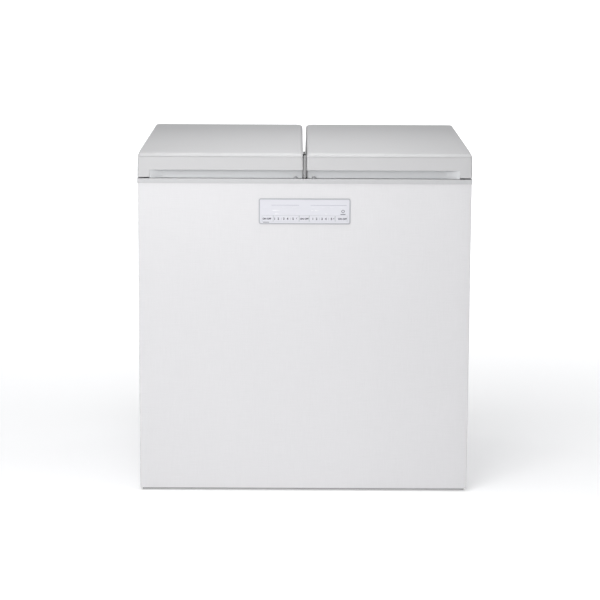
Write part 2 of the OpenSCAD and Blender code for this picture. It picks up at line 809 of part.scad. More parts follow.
module condenser_fins() {
    fin_pitch = (condenser_l - 20) / (fins - 1);
    x0 = condenser_x - condenser_l / 2;
    low = pan_z + condenser_rise + 1;
    color("silver") {
        for (i = [0 : fins - 1]) translate([x0 + 10 + i * fin_pitch - fin_t / 2, 0, 0])
            rotate([90, 0, 90]) linear_extrude(fin_t) difference() {
                translate([fan_y - fin_size.x / 2, low]) square(fin_size);
                for (y = coil_ys, k = [0 : coil_rows - 1])
                    translate([y, coil_z + k * coil_pitch]) circle(tube_r + 0.1);
            }
        // Two rails that stand the fins on the base pan
        for (y = [-1, 1]) translate([x0 + 5, fan_y + y * 30 - fin_rail / 2, pan_z])
            cube([condenser_l - 10, fin_rail, low - pan_z + eps]);
    }
}

module fan_shroud() {
    half = fan_r + 20;
    color("gray") {
        difference() {
            translate([fan_x, fan_y, fan_z]) cube([3, 2 * half, 2 * half], center = true);
            translate([fan_x - 5, fan_y, fan_z]) rotate([0, 90, 0]) cylinder(r = fan_r + 4, h = 10);
        }
        difference() {
            translate([fan_x - 1.5, fan_y, fan_z]) rotate([0, 90, 0]) cylinder(r = fan_r + 7, h = 20);
            translate([fan_x - 5, fan_y, fan_z]) rotate([0, 90, 0]) cylinder(r = fan_r + 4, h = 30);
        }
        span([fan_x - 1.5, fan_y - half, pan_z], [fan_x + 20, fan_y + half, fan_z - half + eps]);
    }
}

module fan_motor() {
    color("dimgray") {
        translate([fan_x + 24, fan_y, fan_z]) rotate([0, 90, 0]) cylinder(r = 27, h = 42);
        translate([fan_x - 4, fan_y, fan_z]) rotate([0, 90, 0]) cylinder(r = 2, h = 30);
        // Arms that hold the motor on the shroud's ring
        for (a = [45 : 90 : 315]) translate([fan_x + 30, fan_y, fan_z]) rotate([a, 0, 0]) {
            translate([0, 25, -4]) cube([4, fan_r + 7 - 25, 8]);
            translate([-11.5, fan_r + 3, -4]) cube([15.5, 4, 8]);
        }
    }
}

module fan_blade() {
    pitch = 32;
    color("whitesmoke") difference() {
        translate([fan_x, fan_y, fan_z]) union() {
            translate([-7, 0, 0]) rotate([0, 90, 0]) cylinder(r = 16, h = 26);
            for (i = [0 : blades - 1]) rotate([i * 360 / blades, 0, 0])
                translate([6, 14, 0]) rotate([0, pitch, 0])
                    translate([-1, 0, -14]) cube([2, fan_r - 17, 28]);
        }
        translate([fan_x - 8, fan_y, fan_z]) rotate([0, 90, 0]) cylinder(r = 2 + fit, h = 30);
    }
}

module main_board_box() {
    t = board_box_t;
    inset = 12;
    color("whitesmoke") translate([board_box_x, room_y + lining_t, board_box_z]) {
        difference() {
            cube(board_box);
            translate([t, t, t]) cube(board_box - 2 * t * [1, 1, 1]);
        }
        for (x = [inset, board_box.x - inset], z = [inset, board_box.z - inset])
            rod([x, t - eps, z], [x, t + board_post_h, z], 3);
    }
}

module main_board() {
    y = board_box_t + board_post_h;
    board = [board_box.x - 10, board_t, board_box.z - 10];
    color("darkgreen") translate([board_box_x, room_y + lining_t + y, board_box_z]) {
        translate([5, 0, 5]) cube(board);
        // Transformer and a row of capacitors
        translate([board.x / 5, board_t - eps, board.z / 5]) cube([26, 20, 30]);
        for (i = [0 : 3]) translate([0.7 * board.x, board_t - eps, board.z * (1 + i) / 5])
            rotate([-90, 0, 0]) cylinder(r = 7, h = 22);
    }
}

module refrigerant_pipes() {
    out_x = compressor_x - compressor_r;
    out_z = compressor_z + 60;
    run_y = back_y - 30;
    end_x = condenser_x - condenser_l / 2;
    wall_y = room_y + lining_t + 11;
    top_z = room_z - 20;
    drier = [[60, wall_y + 18, top_z - 25], [150, wall_y + 18, top_z - 25]];
    color("peru") {
        // Discharge line from the compressor, along the back, to the condenser
        pipe([[out_x + air, compressor_y + 10, out_z], [out_x - 24, compressor_y + 10, out_z],
            [out_x - 24, run_y, out_z], [out_x - 24, run_y, pan_z + 8],
            [end_x - 11, run_y, pan_z + 8], [end_x - 11, run_y, coil_z],
            [end_x - 11, coil_ys[1], coil_z], [end_x, coil_ys[1], coil_z]], tube_r);
        // From the condenser, through the filter drier, to the tubs
        pipe([[end_x, coil_ys[0], coil_z], [end_x - 11, coil_ys[0], coil_z],
            [end_x - 11, drier[0].y, coil_z], [end_x - 11, drier[0].y, drier[0].z],
            drier[0], drier[1], drier[1] + [15, 0, 0],
            [drier[1].x + 15, drier[1].y, room_z - lining_t]], tube_r);
        rod(drier[0], drier[1], 9);
        // Suction line from the tubs back to the compressor
        pipe([[compressor_x, compressor_y, compressor_z + compressor_h],
            [compressor_x, compressor_y, top_z], [compressor_x, wall_y, top_z],
            [-40, wall_y, top_z], [-40, wall_y, room_z - lining_t]], 4);
    }
}

module cord_gland() {
    color("black") translate([gland_x, back_y, gland_z]) rotate([90, 0, 0]) difference() {
        union() {
            translate([0, 0, -5]) cylinder(r = 13, h = 5);
            cylinder(r = 10, h = 8);
        }
        translate([0, 0, -6]) cylinder(r = 4.5, h = 20);
    }
}

// ---------------------------------------------------------------- rollers and feet

module roller_brackets() {
    gap = 1.5;
    t = 3;
    in_x = roller_w / 2 + gap;
    top = roller_d + 3;
    color("silver") for (s = [-1, 1]) translate([s * wheel_x, wheel_y, 0]) {
        for (e = [-in_x - t, in_x]) difference() {
            translate([e, -roller_d / 2 - 4, wheel_z - 9]) cube([t, roller_d + 8, top - wheel_z + 9 + t]);
            translate([e - 1, 0, wheel_z]) rotate([0, 90, 0]) cylinder(d = axle_d, h = t + 2);
        }
        translate([-in_x - t, -roller_d / 2 - 4, top]) cube([2 * (in_x + t), roller_d + 8, t]);
        // Feet that lie on the base pan, past the cut-out
        for (f = [-1, 1]) translate([0, f * (roller_d / 2 + 12), 0])
            span([-in_x - t, -9, pan_z], [in_x + t, 9, pan_z + t]);
        for (f = [-1, 1]) translate([0, f * (roller_d / 2 + 4.5), 0])
            span([-in_x - t, -1.5, pan_z], [in_x + t, 1.5, top + t]);
        // Riveted axle
        rod([-in_x - t - 2, 0, wheel_z], [in_x + t + 2, 0, wheel_z], axle_d / 2);
    }
}

module roller(side) {
    color("dimgray") translate([side * wheel_x, wheel_y, wheel_z]) rotate([0, 90, 0])
        difference() {
            union() {
                cylinder(d = roller_d, h = roller_w - 4, center = true);
                cylinder(d = roller_d - 3, h = roller_w, center = true);
            }
            cylinder(d = axle_d + 2 * fit, h = roller_w + 2, center = true);
        }
}

module foot(side) {
    color("dimgray") translate([side * wheel_x, foot_y, 0]) {
        cylinder(d = foot_d, h = foot_pad_h - 3);
        cylinder(d = foot_d - 8, h = foot_pad_h);
    }
    color("silver") translate([side * wheel_x, foot_y, foot_pad_h - eps])
        cylinder(d = stem_d, h = foot_top_z - foot_pad_h);
}

front_panel();
side_panel(-1);  // left_side_panel
side_panel(1);  // right_side_panel
rear_panel();
base_pan();
machine_room_lining();
machine_room_cover();
top_frame();
cabinet_foam();
inner_tub(-1);  // left_inner_tub
inner_tub(1);  // right_inner_tub
evaporator_pipe(-1);  // left_evaporator_pipe
evaporator_pipe(1);  // right_evaporator_pipe
tub_sensor_covers();
hinge_bases();
hinge_pins();
hinge_screws();
centre_cover();
lid_bumpers();
control_bezel();
control_fascia();
display_board();
key(0);  // key_1
key(1);  // key_2
key(2);  // key_3
key(3);  // key_4
key(4);  // key_5
lid_shell(-1);  // left_lid_shell
lid_handle(-1);  // left_lid_handle
lid_foam(-1);  // left_lid_foam
lid_liner(-1);  // left_lid_liner
lid_gasket(-1);  // left_lid_gasket
hinge_arms(-1);  // left_hinge_arms
lid_shell(1);  // right_lid_shell
lid_handle(1);  // right_lid_handle
lid_foam(1);  // right_lid_foam
lid_liner(1);  // right_lid_liner
lid_gasket(1);  // right_lid_gasket
hinge_arms(1);  // right_hinge_arms
compressor();
compressor_grommets();
refrigerant_pipes();
condenser_coil();
condenser_fins();
fan_shroud();
fan_motor();
fan_blade();
main_board_box();
main_board();
cord_gland();
cover_screws();
roller_brackets();
roller(-1);  // left_roller
roller(1);  // right_roller
foot(-1);  // left_foot
foot(1);  // right_foot
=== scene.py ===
# %% [markdown]
# # A chest refrigerator with two lids
#
# This file dresses a working model of a chest refrigerator for kimchi: two wedge-shaped lids
# side by side, a white steel front, a small control panel, and a machine room at the back.
# The moving frame is loaded first and never changed. Every piece that is made here rides on
# one of its bodies, so a lid's skin, seal and hinge leaves all open together.
# All lengths are in metres. +X is the viewer's right, +Z is up, and the front faces -Y.

# %% Load the frame
import json
import math

import bmesh
import bpy
import numpy as np
from mathutils import Matrix, Vector

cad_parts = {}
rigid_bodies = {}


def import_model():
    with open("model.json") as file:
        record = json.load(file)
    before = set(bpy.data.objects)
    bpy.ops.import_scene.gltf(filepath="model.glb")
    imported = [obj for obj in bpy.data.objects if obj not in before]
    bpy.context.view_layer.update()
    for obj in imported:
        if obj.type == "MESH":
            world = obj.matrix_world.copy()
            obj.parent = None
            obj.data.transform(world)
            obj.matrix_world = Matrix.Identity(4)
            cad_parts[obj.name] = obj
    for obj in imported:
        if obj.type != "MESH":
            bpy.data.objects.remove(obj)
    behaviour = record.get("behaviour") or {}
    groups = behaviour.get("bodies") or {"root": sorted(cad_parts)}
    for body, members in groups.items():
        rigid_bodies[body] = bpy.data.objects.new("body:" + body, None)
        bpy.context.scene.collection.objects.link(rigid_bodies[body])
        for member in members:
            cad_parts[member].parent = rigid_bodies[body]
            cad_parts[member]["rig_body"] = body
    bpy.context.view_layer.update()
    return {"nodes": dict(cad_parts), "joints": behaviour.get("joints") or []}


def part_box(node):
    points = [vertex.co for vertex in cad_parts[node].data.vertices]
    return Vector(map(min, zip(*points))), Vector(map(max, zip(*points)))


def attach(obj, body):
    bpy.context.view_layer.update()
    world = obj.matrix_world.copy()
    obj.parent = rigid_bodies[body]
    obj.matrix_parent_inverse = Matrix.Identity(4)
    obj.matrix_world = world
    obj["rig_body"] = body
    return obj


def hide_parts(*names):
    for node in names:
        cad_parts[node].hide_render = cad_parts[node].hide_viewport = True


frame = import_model()
NODES = frame["nodes"]
MM = 0.001

# %% [markdown]
# ## Camera
# The photograph was taken from six metres away, a little above the lids, with a long lens.
# The numbers come from fitting the front's corners and the lids' edges. The camera looks down
# a little without any lens shift, so other views of the scene stay true. Roll is the small
# tilt of the whole picture. The lens follows from the picture's 600 pixels and a 36 mm sensor.

# %% Camera
CAMERA_AT = (-0.0203, -6.0718, 1.4500)
CAMERA_TILT = 0.15715
CAMERA_YAW = 0.0015
CAMERA_ROLL = 0.00455
PICTURE_PX = 600
FOCAL_PX = 2056.6
SENSOR_MM = 36

ahead = np.array([math.sin(CAMERA_YAW) * math.cos(CAMERA_TILT),
                  math.cos(CAMERA_YAW) * math.cos(CAMERA_TILT), -math.sin(CAMERA_TILT)])
level = np.array([math.cos(CAMERA_YAW), -math.sin(CAMERA_YAW), 0.0])
upright = np.cross(level, ahead)
right = math.cos(CAMERA_ROLL) * level + math.sin(CAMERA_ROLL) * upright
up = math.cos(CAMERA_ROLL) * upright - math.sin(CAMERA_ROLL) * level
camera_data = bpy.data.cameras.new("camera")
camera_data.sensor_width = SENSOR_MM
camera_data.lens = SENSOR_MM * FOCAL_PX / PICTURE_PX
camera = bpy.data.objects.new("camera", camera_data)
camera.matrix_world = Matrix.Translation(CAMERA_AT) @ Matrix(
    np.column_stack([right, up, -ahead]).tolist()).to_4x4()
bpy.context.scene.collection.objects.link(camera)
bpy.context.scene.camera = camera
print("lens:", round(camera_data.lens, 1), "mm")

# %% [markdown]
# ## Light
# A white product on a white ground needs light that is almost even, or it turns grey.
# A bright sky lights it from everywhere, and three soft panels give the faces their slightly
# different tones: the left and the top of the front are the brightest, and the lids darken
# towards the back. Two strong panels far behind light the paper, which keeps it white. A
# single sun would be simpler, but it would throw a hard shadow that the picture doesn't have.

# %% Light
SKY = (0.93, 0.94, 0.96, 1.0)
SKY_STRENGTH = 0.41
# Each panel's name, place, target, size in metres and power in watts
PANELS = (
    ("key", (-0.6, -2.2, 1.62), (0.0, -0.3, 0.85), 1.3, 26.8),
    ("fill", (0.2, -4.6, 2.4), (0.1, -0.388, 0.6), 2.8, 7.0),
    ("lid_light", (0.0, -0.33, 1.92), (0.0, -0.18, 0.95), 0.9, 8.7),
    ("backdrop_light", (-4.5, 3.4, 3.0), (-2.7, 8.0, 0.2), 3.0, 230.0),
    ("backdrop_light", (4.5, 3.4, 3.0), (2.7, 8.0, 0.2), 3.0, 230.0),
)


def soft_panel(name, place, target, size, power):
    """A square light of the given size, turned so that it faces the target."""
    data = bpy.data.lights.new(name, "AREA")
    data.shape = "SQUARE"
    data.size = size
    data.energy = power
    lamp = bpy.data.objects.new(name, data)
    turn = (Vector(target) - Vector(place)).to_track_quat("-Z", "Y").to_matrix().to_4x4()
    lamp.matrix_world = Matrix.Translation(place) @ turn
    lamp.visible_camera = False
    bpy.context.scene.collection.objects.link(lamp)


world = bpy.data.worlds.new("studio")
world.use_nodes = True
sky = world.node_tree.nodes["Background"]
sky.inputs["Color"].default_value = SKY
sky.inputs["Strength"].default_value = SKY_STRENGTH
bpy.context.scene.world = world
bpy.context.scene.view_settings.view_transform = "Standard"
for panel in PANELS:
    soft_panel(*panel)
print("lights:", len(PANELS))

# %% [markdown]
# ## Surfaces from numbers
# Nearly every piece here is a grid of points: one direction goes along a profile and the
# other goes around or along the piece. The points are worked out as whole arrays, then
# neighbouring rows and columns are joined by quads. Where a row shrinks to a point, the
# doubled points are merged, so the surface closes. The same pieces could be modelled by hand,
# but here one number corrects a shape everywhere it is used.

# %% Grids and pieces
SMOOTH = 32
EDGE_ANGLE = 35


def grid_faces(rows, cols, wrap=True):
    """Quads between neighbouring rows and columns; wrap joins the last column to the first."""
    index = np.arange(rows * cols).reshape(rows, cols)
    if wrap:
        index = np.hstack([index, index[:, :1]])
    corners = [index[:-1, :-1], index[:-1, 1:], index[1:, 1:], index[1:, :-1]]
    return np.stack(corners, -1).reshape(-1, 4)


def link_piece(name, mesh, body, material, smooth=SMOOTH):
    """Puts a mesh into the scene as a piece that rides on a body."""
    mesh.shade_smooth()
    mesh.set_sharp_from_angle(angle=math.radians(smooth))
    mesh.materials.append(material)
    piece = bpy.data.objects.new(name, mesh)
    bpy.context.scene.collection.objects.link(piece)
    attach(piece, body)
    return piece


def add_piece(name, points, faces, body, material, smooth=SMOOTH):
    """Makes a piece from points and quads. Doubled points are merged, and all faces are
    turned to agree: outwards on a closed surface, to one side or the other on an open one."""
    mesh = bpy.data.meshes.new(name)
    mesh.from_pydata(np.asarray(points, float).reshape(-1, 3).tolist(), [],
                     [list(face) for face in faces])
    work = bmesh.new()
    work.from_mesh(mesh)
    bmesh.ops.remove_doubles(work, verts=work.verts, dist=2e-6)
    bmesh.ops.dissolve_degenerate(work, edges=work.edges, dist=1e-7)
    bmesh.ops.recalc_face_normals(work, faces=work.faces)
    work.to_mesh(mesh)
    work.free()
    return link_piece(name, mesh, body, material, smooth)


def surface(grids, wrap=True, cap=""):
    """Several grids of points as one list of points and one list of faces. The cap "top"
    closes the last row of each grid with a flat face, and "both" closes its first row too."""
    points, faces, start = [], [], 0
    for grid in grids:
        rows, cols = grid.shape[:2]
        last = start + rows * cols
        points.append(grid.reshape(-1, 3))
        faces += (grid_faces(rows, cols, wrap) + start).tolist()
        if cap:
            faces.append(list(range(last - cols, last)))
        if cap == "both":
            faces.append(list(range(start, start + cols)))
        start = last
    return np.vstack(points), faces


def finish_edges(piece, width, segments=2, angle=EDGE_ANGLE):
    """Rounds the sharp edges of a piece by width, as a press tool or a mould would."""
    edge = piece.modifiers.new("round edges", "BEVEL")
    edge.width = width
    edge.segments = segments
    edge.limit_method = "ANGLE"
    edge.angle_limit = math.radians(angle)
    edge.harden_normals = True


def thicken(piece, wall, outward=False):
    """Gives an open skin its wall, behind its faces or, if outward, in front of them. The wall
    becomes part of the mesh at once, so that its new rim gets sharp edges too."""
    skin = piece.modifiers.new("wall", "SOLIDIFY")
    skin.thickness = wall
    skin.offset = 1 if outward else -1
    bpy.context.view_layer.update()
    graph = bpy.context.evaluated_depsgraph_get()
    mesh = bpy.data.meshes.new_from_object(piece.evaluated_get(graph))
    mesh.name = piece.name + "_mesh"
    piece.modifiers.clear()
    piece.data = mesh
    mesh.set_sharp_from_angle(angle=math.radians(SMOOTH))


def soften(node, width, material, segments=2, moves=(), smooth=SMOOTH):
    """Stands in for a CAD node whose form is right but whose edges are razor sharp: a merged
    copy of its mesh with each sharp edge rounded by width. Each move is a height and a step:
    the points at that height go up or down by that step."""
    work = bmesh.new()
    work.from_mesh(NODES[node].data)
    bmesh.ops.remove_doubles(work, verts=work.verts, dist=3e-6)
    bmesh.ops.dissolve_limit(work, angle_limit=math.radians(0.8), verts=work.verts,
                             edges=work.edges)
    for height, step in moves:
        for point in work.verts:
            point.co.z += step * (abs(point.co.z - height) < 0.02 * MM)
    mesh = bpy.data.meshes.new(node + "_soft")
    work.to_mesh(mesh)
    work.free()
    piece = link_piece(node + "_soft", mesh, NODES[node]["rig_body"], material, smooth)
    if width:
        finish_edges(piece, width, segments)
    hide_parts(node)


# %% [markdown]
# ## A rectangle with round corners
# Lids, seals, plates and tubs are all rings of the same kind: a rectangle with round corners.
# A template says, for each point once around, how far it lies along the straight parts (u, v)
# and which way is outwards (nx, ny). A ring is then one line of arithmetic, and a stack of
# rings with its own insets and heights is a whole surface. A bevelled box would be quicker,
# but its corner and its edge would have to share one radius.

# %% Rings
def ring_template(corner, along_x=(0.5,), along_y=(0.5,)):
    """Once around a round-cornered rectangle, from the front's left end, anticlockwise as
    seen from above, with corner steps in each corner and points at the given fractions of the
    straight parts. Returns u, v (0 to 1 between the corners' middles) and nx, ny."""
    ax, ay = np.asarray(along_x, float), np.asarray(along_y, float)
    q = np.linspace(0, math.pi / 2, corner + 1)
    one, zero = np.ones_like, np.zeros_like
    parts = [
        (ax, zero(ax), zero(ax), -one(ax)), (one(q), zero(q), np.sin(q), -np.cos(q)),
        (one(ay), ay, one(ay), zero(ay)), (one(q), one(q), np.cos(q), np.sin(q)),
        (ax[::-1], one(ax), zero(ax), one(ax)), (zero(q), one(q), -np.sin(q), np.cos(q)),
        (zero(ay), ay[::-1], -one(ay), zero(ay)), (zero(q), zero(q), -np.cos(q), -np.sin(q)),
    ]
    return [np.concatenate(column) for column in zip(*parts)]


def ring_points(template, x0, x1, y0, y1, r):
    """Points of round-cornered rectangles: each limit is a number or a column of numbers."""
    u, v, nx, ny = template
    x0, x1, y0, y1, r = [np.atleast_1d(np.asarray(a, float))[:, None]
                         for a in (x0, x1, y0, y1, r)]
    x = x0 + r + u * (x1 - x0 - 2 * r) + r * nx
    y = y0 + r + v * (y1 - y0 - 2 * r) + r * ny
    return np.broadcast_arrays(x, y)


def slab(x0, x1, y0, y1, z0, z1, corner_r, edge_r, steps=4):
    """Points of a block with round corners and round edges: rings climb from the flat of the
    underside, around both edges, to the flat of the top. Both flats are caps."""
    a = np.linspace(0, math.pi / 2, steps + 1)
    inset = np.concatenate([edge_r * (1 - np.sin(a)), edge_r * (1 - np.cos(a))])
    height = np.concatenate([z0 + edge_r * (1 - np.cos(a)), z1 - edge_r * (1 - np.sin(a))])
    x, y = ring_points(ring_template(6), x0 + inset, x1 - inset, y0 + inset, y1 - inset,
                       np.clip(corner_r - inset, 1e-5, None))
    return np.stack([x, y, np.broadcast_to(height[:, None], x.shape)], -1)


def facing_front(points):
    """Turns a block that was built lying down so that its top faces the front (-Y)."""
    x, y, z = np.moveaxis(np.asarray(points, float), -1, 0)
    return np.stack([x, -z, y], -1)


def turned(profile, count, centre, axis="Z"):
    """A profile of (radius, height) pairs turned about an axis through the centre, with count
    points around: radius times cosine and sine of the angle, and height along the axis."""
    radius, height = np.asarray(profile, float).T
    angle = np.linspace(0, 2 * math.pi, count, endpoint=False)
    a = radius[:, None] * np.cos(angle)
    b = radius[:, None] * np.sin(angle)
    h = np.broadcast_to(height[:, None], a.shape)
    order = {"Z": (a, b, h), "X": (h, a, b), "Y": (b, h, a)}[axis]
    return np.stack(order, -1) + np.asarray(centre, float)


# %% [markdown]
# ## Shared effects
# Four effects come back in many finishes, so each is a node group with named inputs: the
# faint pebble of moulded plastic, the fine woven streaks pressed into coated steel, the
# one-way scratches of rolled metal, and slow drifts of tone that keep a large face from
# looking dead. Each gives out a height for the bump or a mask, never a shader.

# %% Shared node groups
def new_group(name, inputs, outputs):
    """An empty node group, its input and its output node. The inputs are a dictionary of names
    and default values, and the outputs are a list of names."""
    group = bpy.data.node_groups.new(name, "ShaderNodeTree")
    for label, default in inputs.items():
        socket = group.interface.new_socket(label, in_out="INPUT", socket_type="NodeSocketFloat")
        socket.default_value = default
    for label in outputs:
        group.interface.new_socket(label, in_out="OUTPUT", socket_type="NodeSocketFloat")
    return group, group.nodes.new("NodeGroupInput"), group.nodes.new("NodeGroupOutput")


def set_or_link(tree, socket, value):
    """Writes a number into a socket, or links another socket to it."""
    if isinstance(value, (int, float)):
        socket.default_value = value
    else:
        tree.links.new(value, socket)


def maths(tree, operation, *values):
    """A Math node; its values are sockets or numbers."""
    node = tree.nodes.new("ShaderNodeMath")
    node.operation = operation
    for i, value in enumerate(values):
        set_or_link(tree, node.inputs[i], value)
    return node.outputs[0]


def noise_of(tree, scale, detail, stretch=(1, 1, 1)):
    """Noise in Object coordinates, squeezed by stretch; scale is a socket or a number."""
    place = tree.nodes.new("ShaderNodeTexCoord")
    squeeze = tree.nodes.new("ShaderNodeMapping")
    squeeze.inputs["Scale"].default_value = stretch
    noise = tree.nodes.new("ShaderNodeTexNoise")
    noise.inputs["Detail"].default_value = detail
    tree.links.new(place.outputs["Object"], squeeze.inputs["Vector"])
    tree.links.new(squeeze.outputs["Vector"], noise.inputs["Vector"])
    set_or_link(tree, noise.inputs["Scale"], scale)
    return noise.outputs["Fac"]


def make_pebble():
    """Moulded plastic: two sizes of noise, the finer at a third of the size and the height."""
    group, source, sink = new_group("pebble", {"Scale": 900.0}, ["Height"])
    coarse = noise_of(group, source.outputs["Scale"], 1.0)
    fine = noise_of(group, maths(group, "MULTIPLY", source.outputs["Scale"], 3.1), 1.0)
    third = maths(group, "MULTIPLY", fine, 0.33)
    group.links.new(maths(group, "ADD", coarse, third), sink.inputs["Height"])
    return group


def make_linen():
    """Fine streaks both ways: noise drawn out along X plus noise drawn out along Z."""
    group, source, sink = new_group("linen", {"Scale": 60.0}, ["Height", "Tone"])
    across = noise_of(group, source.outputs["Scale"], 3.0, stretch=(0.35, 1, 22))
    upward = noise_of(group, source.outputs["Scale"], 3.0, stretch=(22, 1, 0.35))
    total = maths(group, "ADD", across, upward)
    group.links.new(total, sink.inputs["Height"])
    group.links.new(maths(group, "MULTIPLY", total, 0.5), sink.inputs["Tone"])
    return group


def make_rolled():
    """Rolled metal: hair-thin streaks along X with a slow cloud over them."""
    group, source, sink = new_group("rolled", {"Scale": 40.0}, ["Height", "Tone"])
    hair = noise_of(group, source.outputs["Scale"], 4.0, stretch=(0.5, 30, 30))
    cloud = noise_of(group, 6.0, 3.0)
    group.links.new(hair, sink.inputs["Height"])
    mixed = maths(group, "ADD", maths(group, "MULTIPLY", hair, 0.5),
                  maths(group, "MULTIPLY", cloud, 0.5))
    group.links.new(mixed, sink.inputs["Tone"])
    return group


def make_drift():
    """Slow drift of tone: one very large noise, as a value about one half."""
    group, source, sink = new_group("drift", {"Scale": 1.6}, ["Tone"])
    group.links.new(noise_of(group, source.outputs["Scale"], 2.0), sink.inputs["Tone"])
    return group


PEBBLE, LINEN, ROLLED, DRIFT = make_pebble(), make_linen(), make_rolled(), make_drift()

# %% [markdown]
# ## Finishes
# A finish starts from one base colour and one roughness. The drift makes the colour wander by
# a percent or two, and a surface group adds its bump and, where the real metal shows it,
# streaks in the tone. Plain numbers such as metallic or coat go straight onto the shader.
# Most finishes differ only in numbers, so two short helpers stand for the two families:
# everything that wears the pebble, and everything that wears the streaks of rolled metal.

# %% How a finish is made
BUMP_STRENGTH = 0.6
ROLLED_DEPTH = 0.02


def placed_group(tree, group, scale):
    """A group node with its scale set."""
    node = tree.nodes.new("ShaderNodeGroup")
    node.node_tree = group
    node.inputs["Scale"].default_value = scale
    return node


def finish(name, colour, roughness, surface, scale, depth, wander, drift_scale=1.6,
           metallic=0.0, streak=0.0, coat=0.0, gloss=0.5):
    """A material. Its colour is the base colour, times the drift scaled to 1 - wander up to
    1 + wander, times the streaks scaled likewise. Its bump is depth millimetres high."""
    material = bpy.data.materials.new(name)
    material.use_nodes = True
    tree = material.node_tree
    shader = tree.nodes["Principled BSDF"]
    shader.inputs["Roughness"].default_value = roughness
    shader.inputs["Metallic"].default_value = metallic
    shader.inputs["Coat Weight"].default_value = coat
    shader.inputs["Specular IOR Level"].default_value = gloss
    slow = placed_group(tree, DRIFT, drift_scale)
    tone = maths(tree, "MULTIPLY_ADD", slow.outputs["Tone"], 2 * wander, 1 - wander)
    skin = placed_group(tree, surface, scale)
    bump = tree.nodes.new("ShaderNodeBump")
    bump.inputs["Strength"].default_value = BUMP_STRENGTH
    bump.inputs["Distance"].default_value = depth * MM
    tree.links.new(skin.outputs["Height"], bump.inputs["Height"])
    tree.links.new(bump.outputs["Normal"], shader.inputs["Normal"])
    if streak:
        hair = maths(tree, "MULTIPLY_ADD", skin.outputs["Tone"], 2 * streak, 1 - streak)
        tone = maths(tree, "MULTIPLY", tone, hair)
    shade = tree.nodes.new("ShaderNodeVectorMath")
    shade.operation = "SCALE"
    shade.inputs[0].default_value = colour
    tree.links.new(tone, shade.inputs["Scale"])
    tree.links.new(shade.outputs["Vector"], shader.inputs["Base Color"])
    return material


def moulded(name, colour, roughness, scale, depth, wander, drift_scale=1.6, **more):
    """Plastic, paint, rubber, film or print: a finish that wears the pebble."""
    return finish(name, colour, roughness, PEBBLE, scale, depth, wander, drift_scale, **more)


def rolled(name, colour, roughness, scale, streak, wander, drift_scale, metallic=1.0):
    """Bare or plated sheet, pin or tube: a finish that wears the rolled metal's streaks."""
    return finish(name, colour, roughness, ROLLED, scale, ROLLED_DEPTH, wander, drift_scale,
                  metallic, streak)


# %% Sheets and metals
# After the roughness, rolled takes scale, streak, wander and drift scale
FRONT_STEEL = finish("linen_white_steel", (0.66, 0.655, 0.665), 0.34, LINEN, 60, 0.05, 0.012,
                     streak=0.10, coat=0.2)
SIDE_STEEL = moulded("satin_side_steel", (0.60, 0.60, 0.615), 0.42, 700, 0.03, 0.02)
REAR_STEEL = rolled("galvanised_steel", (0.50, 0.51, 0.52), 0.46, 30, 0.12, 0.06, 14,
                    metallic=0.85)
PAN_STEEL = rolled("pan_steel", (0.60, 0.605, 0.61), 0.5, 40, 0.08, 0.05, 8, metallic=0.1)
ZINC = rolled("zinc_plate", (0.62, 0.63, 0.645), 0.34, 120, 0.1, 0.07, 40)
COPPER = rolled("copper_tube", (0.66, 0.33, 0.19), 0.34, 90, 0.1, 0.12, 18)
ALUMINIUM = rolled("drawn_aluminium", (0.70, 0.71, 0.725), 0.38, 80, 0.08, 0.05, 10)
TUB_METAL = moulded("embossed_aluminium", (0.72, 0.725, 0.73), 0.42, 260, 0.25, 0.03, 5,
                    metallic=0.9)

# %% Plastics, rubbers and foam
# After the roughness, moulded takes scale, depth in millimetres, wander and drift scale
LID_PLASTIC = moulded("lid_plastic", (0.52, 0.518, 0.522), 0.52, 1100, 0.02, 0.012, gloss=0.25)
FRAME_PLASTIC = moulded("frame_plastic", (0.50, 0.50, 0.507), 0.38, 1000, 0.02, 0.015)
HANDLE_PLASTIC = moulded("handle_plastic", (0.585, 0.593, 0.603), 0.4, 1000, 0.02, 0.02)
LINER_PLASTIC = moulded("liner_plastic", (0.62, 0.62, 0.62), 0.3, 500, 0.03, 0.02, coat=0.2)
GAP_RUBBER = moulded("gap_rubber", (0.29, 0.29, 0.292), 0.5, 900, 0.03, 0.03, 12)
SEAL_VINYL = moulded("seal_vinyl", (0.27, 0.272, 0.28), 0.55, 1400, 0.03, 0.05, 20)
# The strip under the front is dark grey as painted shade: it stands for the shadow in the gap under
# the front.
SHADE_STRIP_GREY = moulded("shade_strip_grey", (0.33, 0.33, 0.33), 0.7, 900, 0.04, 0.05, 10)
DARK_RUBBER = moulded("dark_rubber", (0.03, 0.03, 0.032), 0.7, 1600, 0.06, 0.12, 30)
DARK_PLASTIC = moulded("dark_plastic", (0.055, 0.056, 0.06), 0.5, 1200, 0.05, 0.08, 20)
GREY_PLASTIC = moulded("grey_plastic", (0.17, 0.175, 0.18), 0.5, 1000, 0.04, 0.06, 12)
WHITE_PLASTIC = moulded("white_plastic", (0.66, 0.66, 0.65), 0.42, 1000, 0.04, 0.03, 8)
BLACK_ENAMEL = moulded("black_enamel", (0.012, 0.012, 0.013), 0.28, 500, 0.06, 0.2, 12, coat=0.4)
# The bezel's darker grey is partly its own colour and partly painted shade for the shadow in the
# gap around the panel.
BEZEL_AND_GAP_SHADE = moulded("bezel_and_gap_shade", (0.43, 0.435, 0.46), 0.34, 1500, 0.01, 0.03, 12)
BOARD_GREEN = moulded("board_green", (0.02, 0.13, 0.06), 0.4, 800, 0.04, 0.15, 60, coat=0.3)
FOAM = moulded("rigid_foam", (0.66, 0.61, 0.50), 0.9, 420, 0.5, 0.08, 14)

